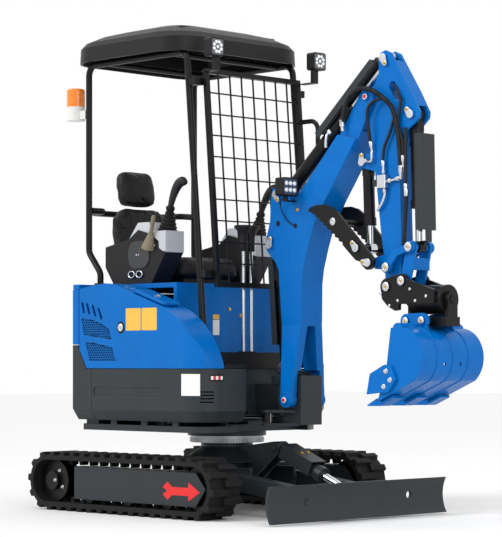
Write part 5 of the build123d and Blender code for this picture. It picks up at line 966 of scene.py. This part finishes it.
boom_fittings = Shape()
m = place(SPRING[0], (0.1, 0, -1))
lathe(boom_fittings, m, ((9.0, -22.0), (11.5, -20.0), (11.5, 8.0), (8.0, 12.0), (7.0, 30.0)), 18)
tube(boom_fittings, [at(828, -40, 1703), at(824, -52, 1690), at(822, -56, 1660), at(822, -56, 1636)], 6.0)
lathe(boom_fittings, place(at(829, -38, 1705), (-0.6, 0, 0.8)), ((11.0, -10.0), (11.0, 8.0), (7.0, 12.0)), 6)
piece("boom_fittings", boom_fittings, "boom", aluminium)
wire = Shape()
tube(wire, route((616, -104, 1436), (578, -94, 1402), (580, -76, 1352), (606, -72, 1320), (634, -72, 1304),
                 (648, -66, 1298)), 2.6)
piece("boom_lamp_wire", wire, "boom", black_seal_and_shade)
gland = Shape()
lathe(gland, place(at(647, 0.5 - BOOM_HALF, 1299), (0, -1, 0)), ((11.0, -0.3), (11.0, 1.5), (5.0, 2.5)), 20)
piece("boom_wire_hole", gland, "boom", black_seal_and_shade)

# Undercarriage: arrow and fasteners
arrow = Shape()
ARROW = [(-120, 16), (-92, 0), (-120, -16), (-90, -40), (-58, -18), (46, -18), (46, -42), (120, 0),
         (46, 42), (46, 18), (-58, 18), (-90, 40)]
m = Matrix.Translation(at(403.0, -535.2, 122.0)) @ Matrix.Rotation(math.radians(90), 4, "X")
rings(arrow, [[m @ Vector((x, z, h)) for x, z in ARROW] for h in (0.0, 1.0)])
piece("red_arrow", arrow, "undercarriage", red_paint)
low, high = (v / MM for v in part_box("slew_ring"))
middle = (low + high) / 2
TEETH, TOOTH = 84, 4.0
gear = Shape()
outline = []
for k in range(TEETH):
    for share, rise in ((0.0, 0.0), (0.25, TOOTH), (0.5, TOOTH), (0.75, 0.0)):
        a = 2 * math.pi * (k + share) / TEETH
        r = (high.x - low.x) / 2 - 1.0 + rise
        outline.append((r * math.cos(a), r * math.sin(a)))
prism(gear, Matrix.Translation((middle.x, middle.y, 0)), outline, low.z + 2.0, high.z - 9.0)
piece("slew_teeth", gear, "undercarriage", looks["bare_steel"], 20.0)

for body, shape in silver.items():
    piece(f"pin_heads_{body}", shape, body, aluminium)
for body, shape in golden.items():
    piece(f"gold_bolts_{body}", shape, body, gold)
for body, shape in grease.items():
    piece(f"grease_caps_{body}", shape, body, red_paint)
for body, shape in ring_white.items():
    piece(f"grease_rings_{body}", shape, body, white_film)

# Stage
FLOOR_HALF, FLOOR_GREY = 30, 0.72
floor_mesh = bpy.data.meshes.new("floor")
floor_mesh.from_pydata([(-FLOOR_HALF, -FLOOR_HALF, 0), (FLOOR_HALF, -FLOOR_HALF, 0),
                        (FLOOR_HALF, FLOOR_HALF, 0), (-FLOOR_HALF, FLOOR_HALF, 0)], [], [(0, 1, 2, 3)])
floor = bpy.data.objects.new("floor", floor_mesh)
bpy.context.scene.collection.objects.link(floor)
floor_mesh.materials.append(finish("floor", (FLOOR_GREY,) * 3, 0.9, vary=0.01, scale=0.4, bump=0.0,
                                   specular=0.05))

world = bpy.data.worlds.new("studio")
bpy.context.scene.world = world
world.use_nodes = True
world.node_tree.nodes["Background"].inputs["Color"].default_value = (1, 1, 1, 1)
world.node_tree.nodes["Background"].inputs["Strength"].default_value = 1.0


key = bpy.data.lights.new("key", "SUN")
key.energy = 1.6
key.angle = math.radians(24.0)
key_object = bpy.data.objects.new("key", key)
key_object.rotation_euler = Vector((4.0, 8.8, -7.1)).to_track_quat("-Z", "Y").to_euler()
bpy.context.scene.collection.objects.link(key_object)


def lamp(name, where, target, width, power):
    data = bpy.data.lights.new(name, "AREA")
    data.size = width
    data.energy = power
    obj = bpy.data.objects.new(name, data)
    bpy.context.scene.collection.objects.link(obj)
    obj.location = where
    obj.rotation_euler = (Vector(target) - Vector(where)).to_track_quat("-Z", "Y").to_euler()


lamp("fill", (5.5, -2.0, 3.0), (0, 0, 0.9), 4.0, 90.0)
lamp("top", (0.0, 0.5, 6.0), (0, 0, 0.5), 5.0, 60.0)

camera = bpy.data.cameras.new("camera")
camera.sensor_width = 36.0
camera.lens = 141.6
camera.shift_y = 0.175
camera_object = bpy.data.objects.new("camera", camera)
camera_object.location = (6.798, -6.818, 0.689)
camera_object.rotation_euler = (math.radians(90), 0, math.radians(45.5))
bpy.context.scene.collection.objects.link(camera_object)
bpy.context.scene.camera = camera_object
bpy.context.scene.view_settings.view_transform = "Standard"
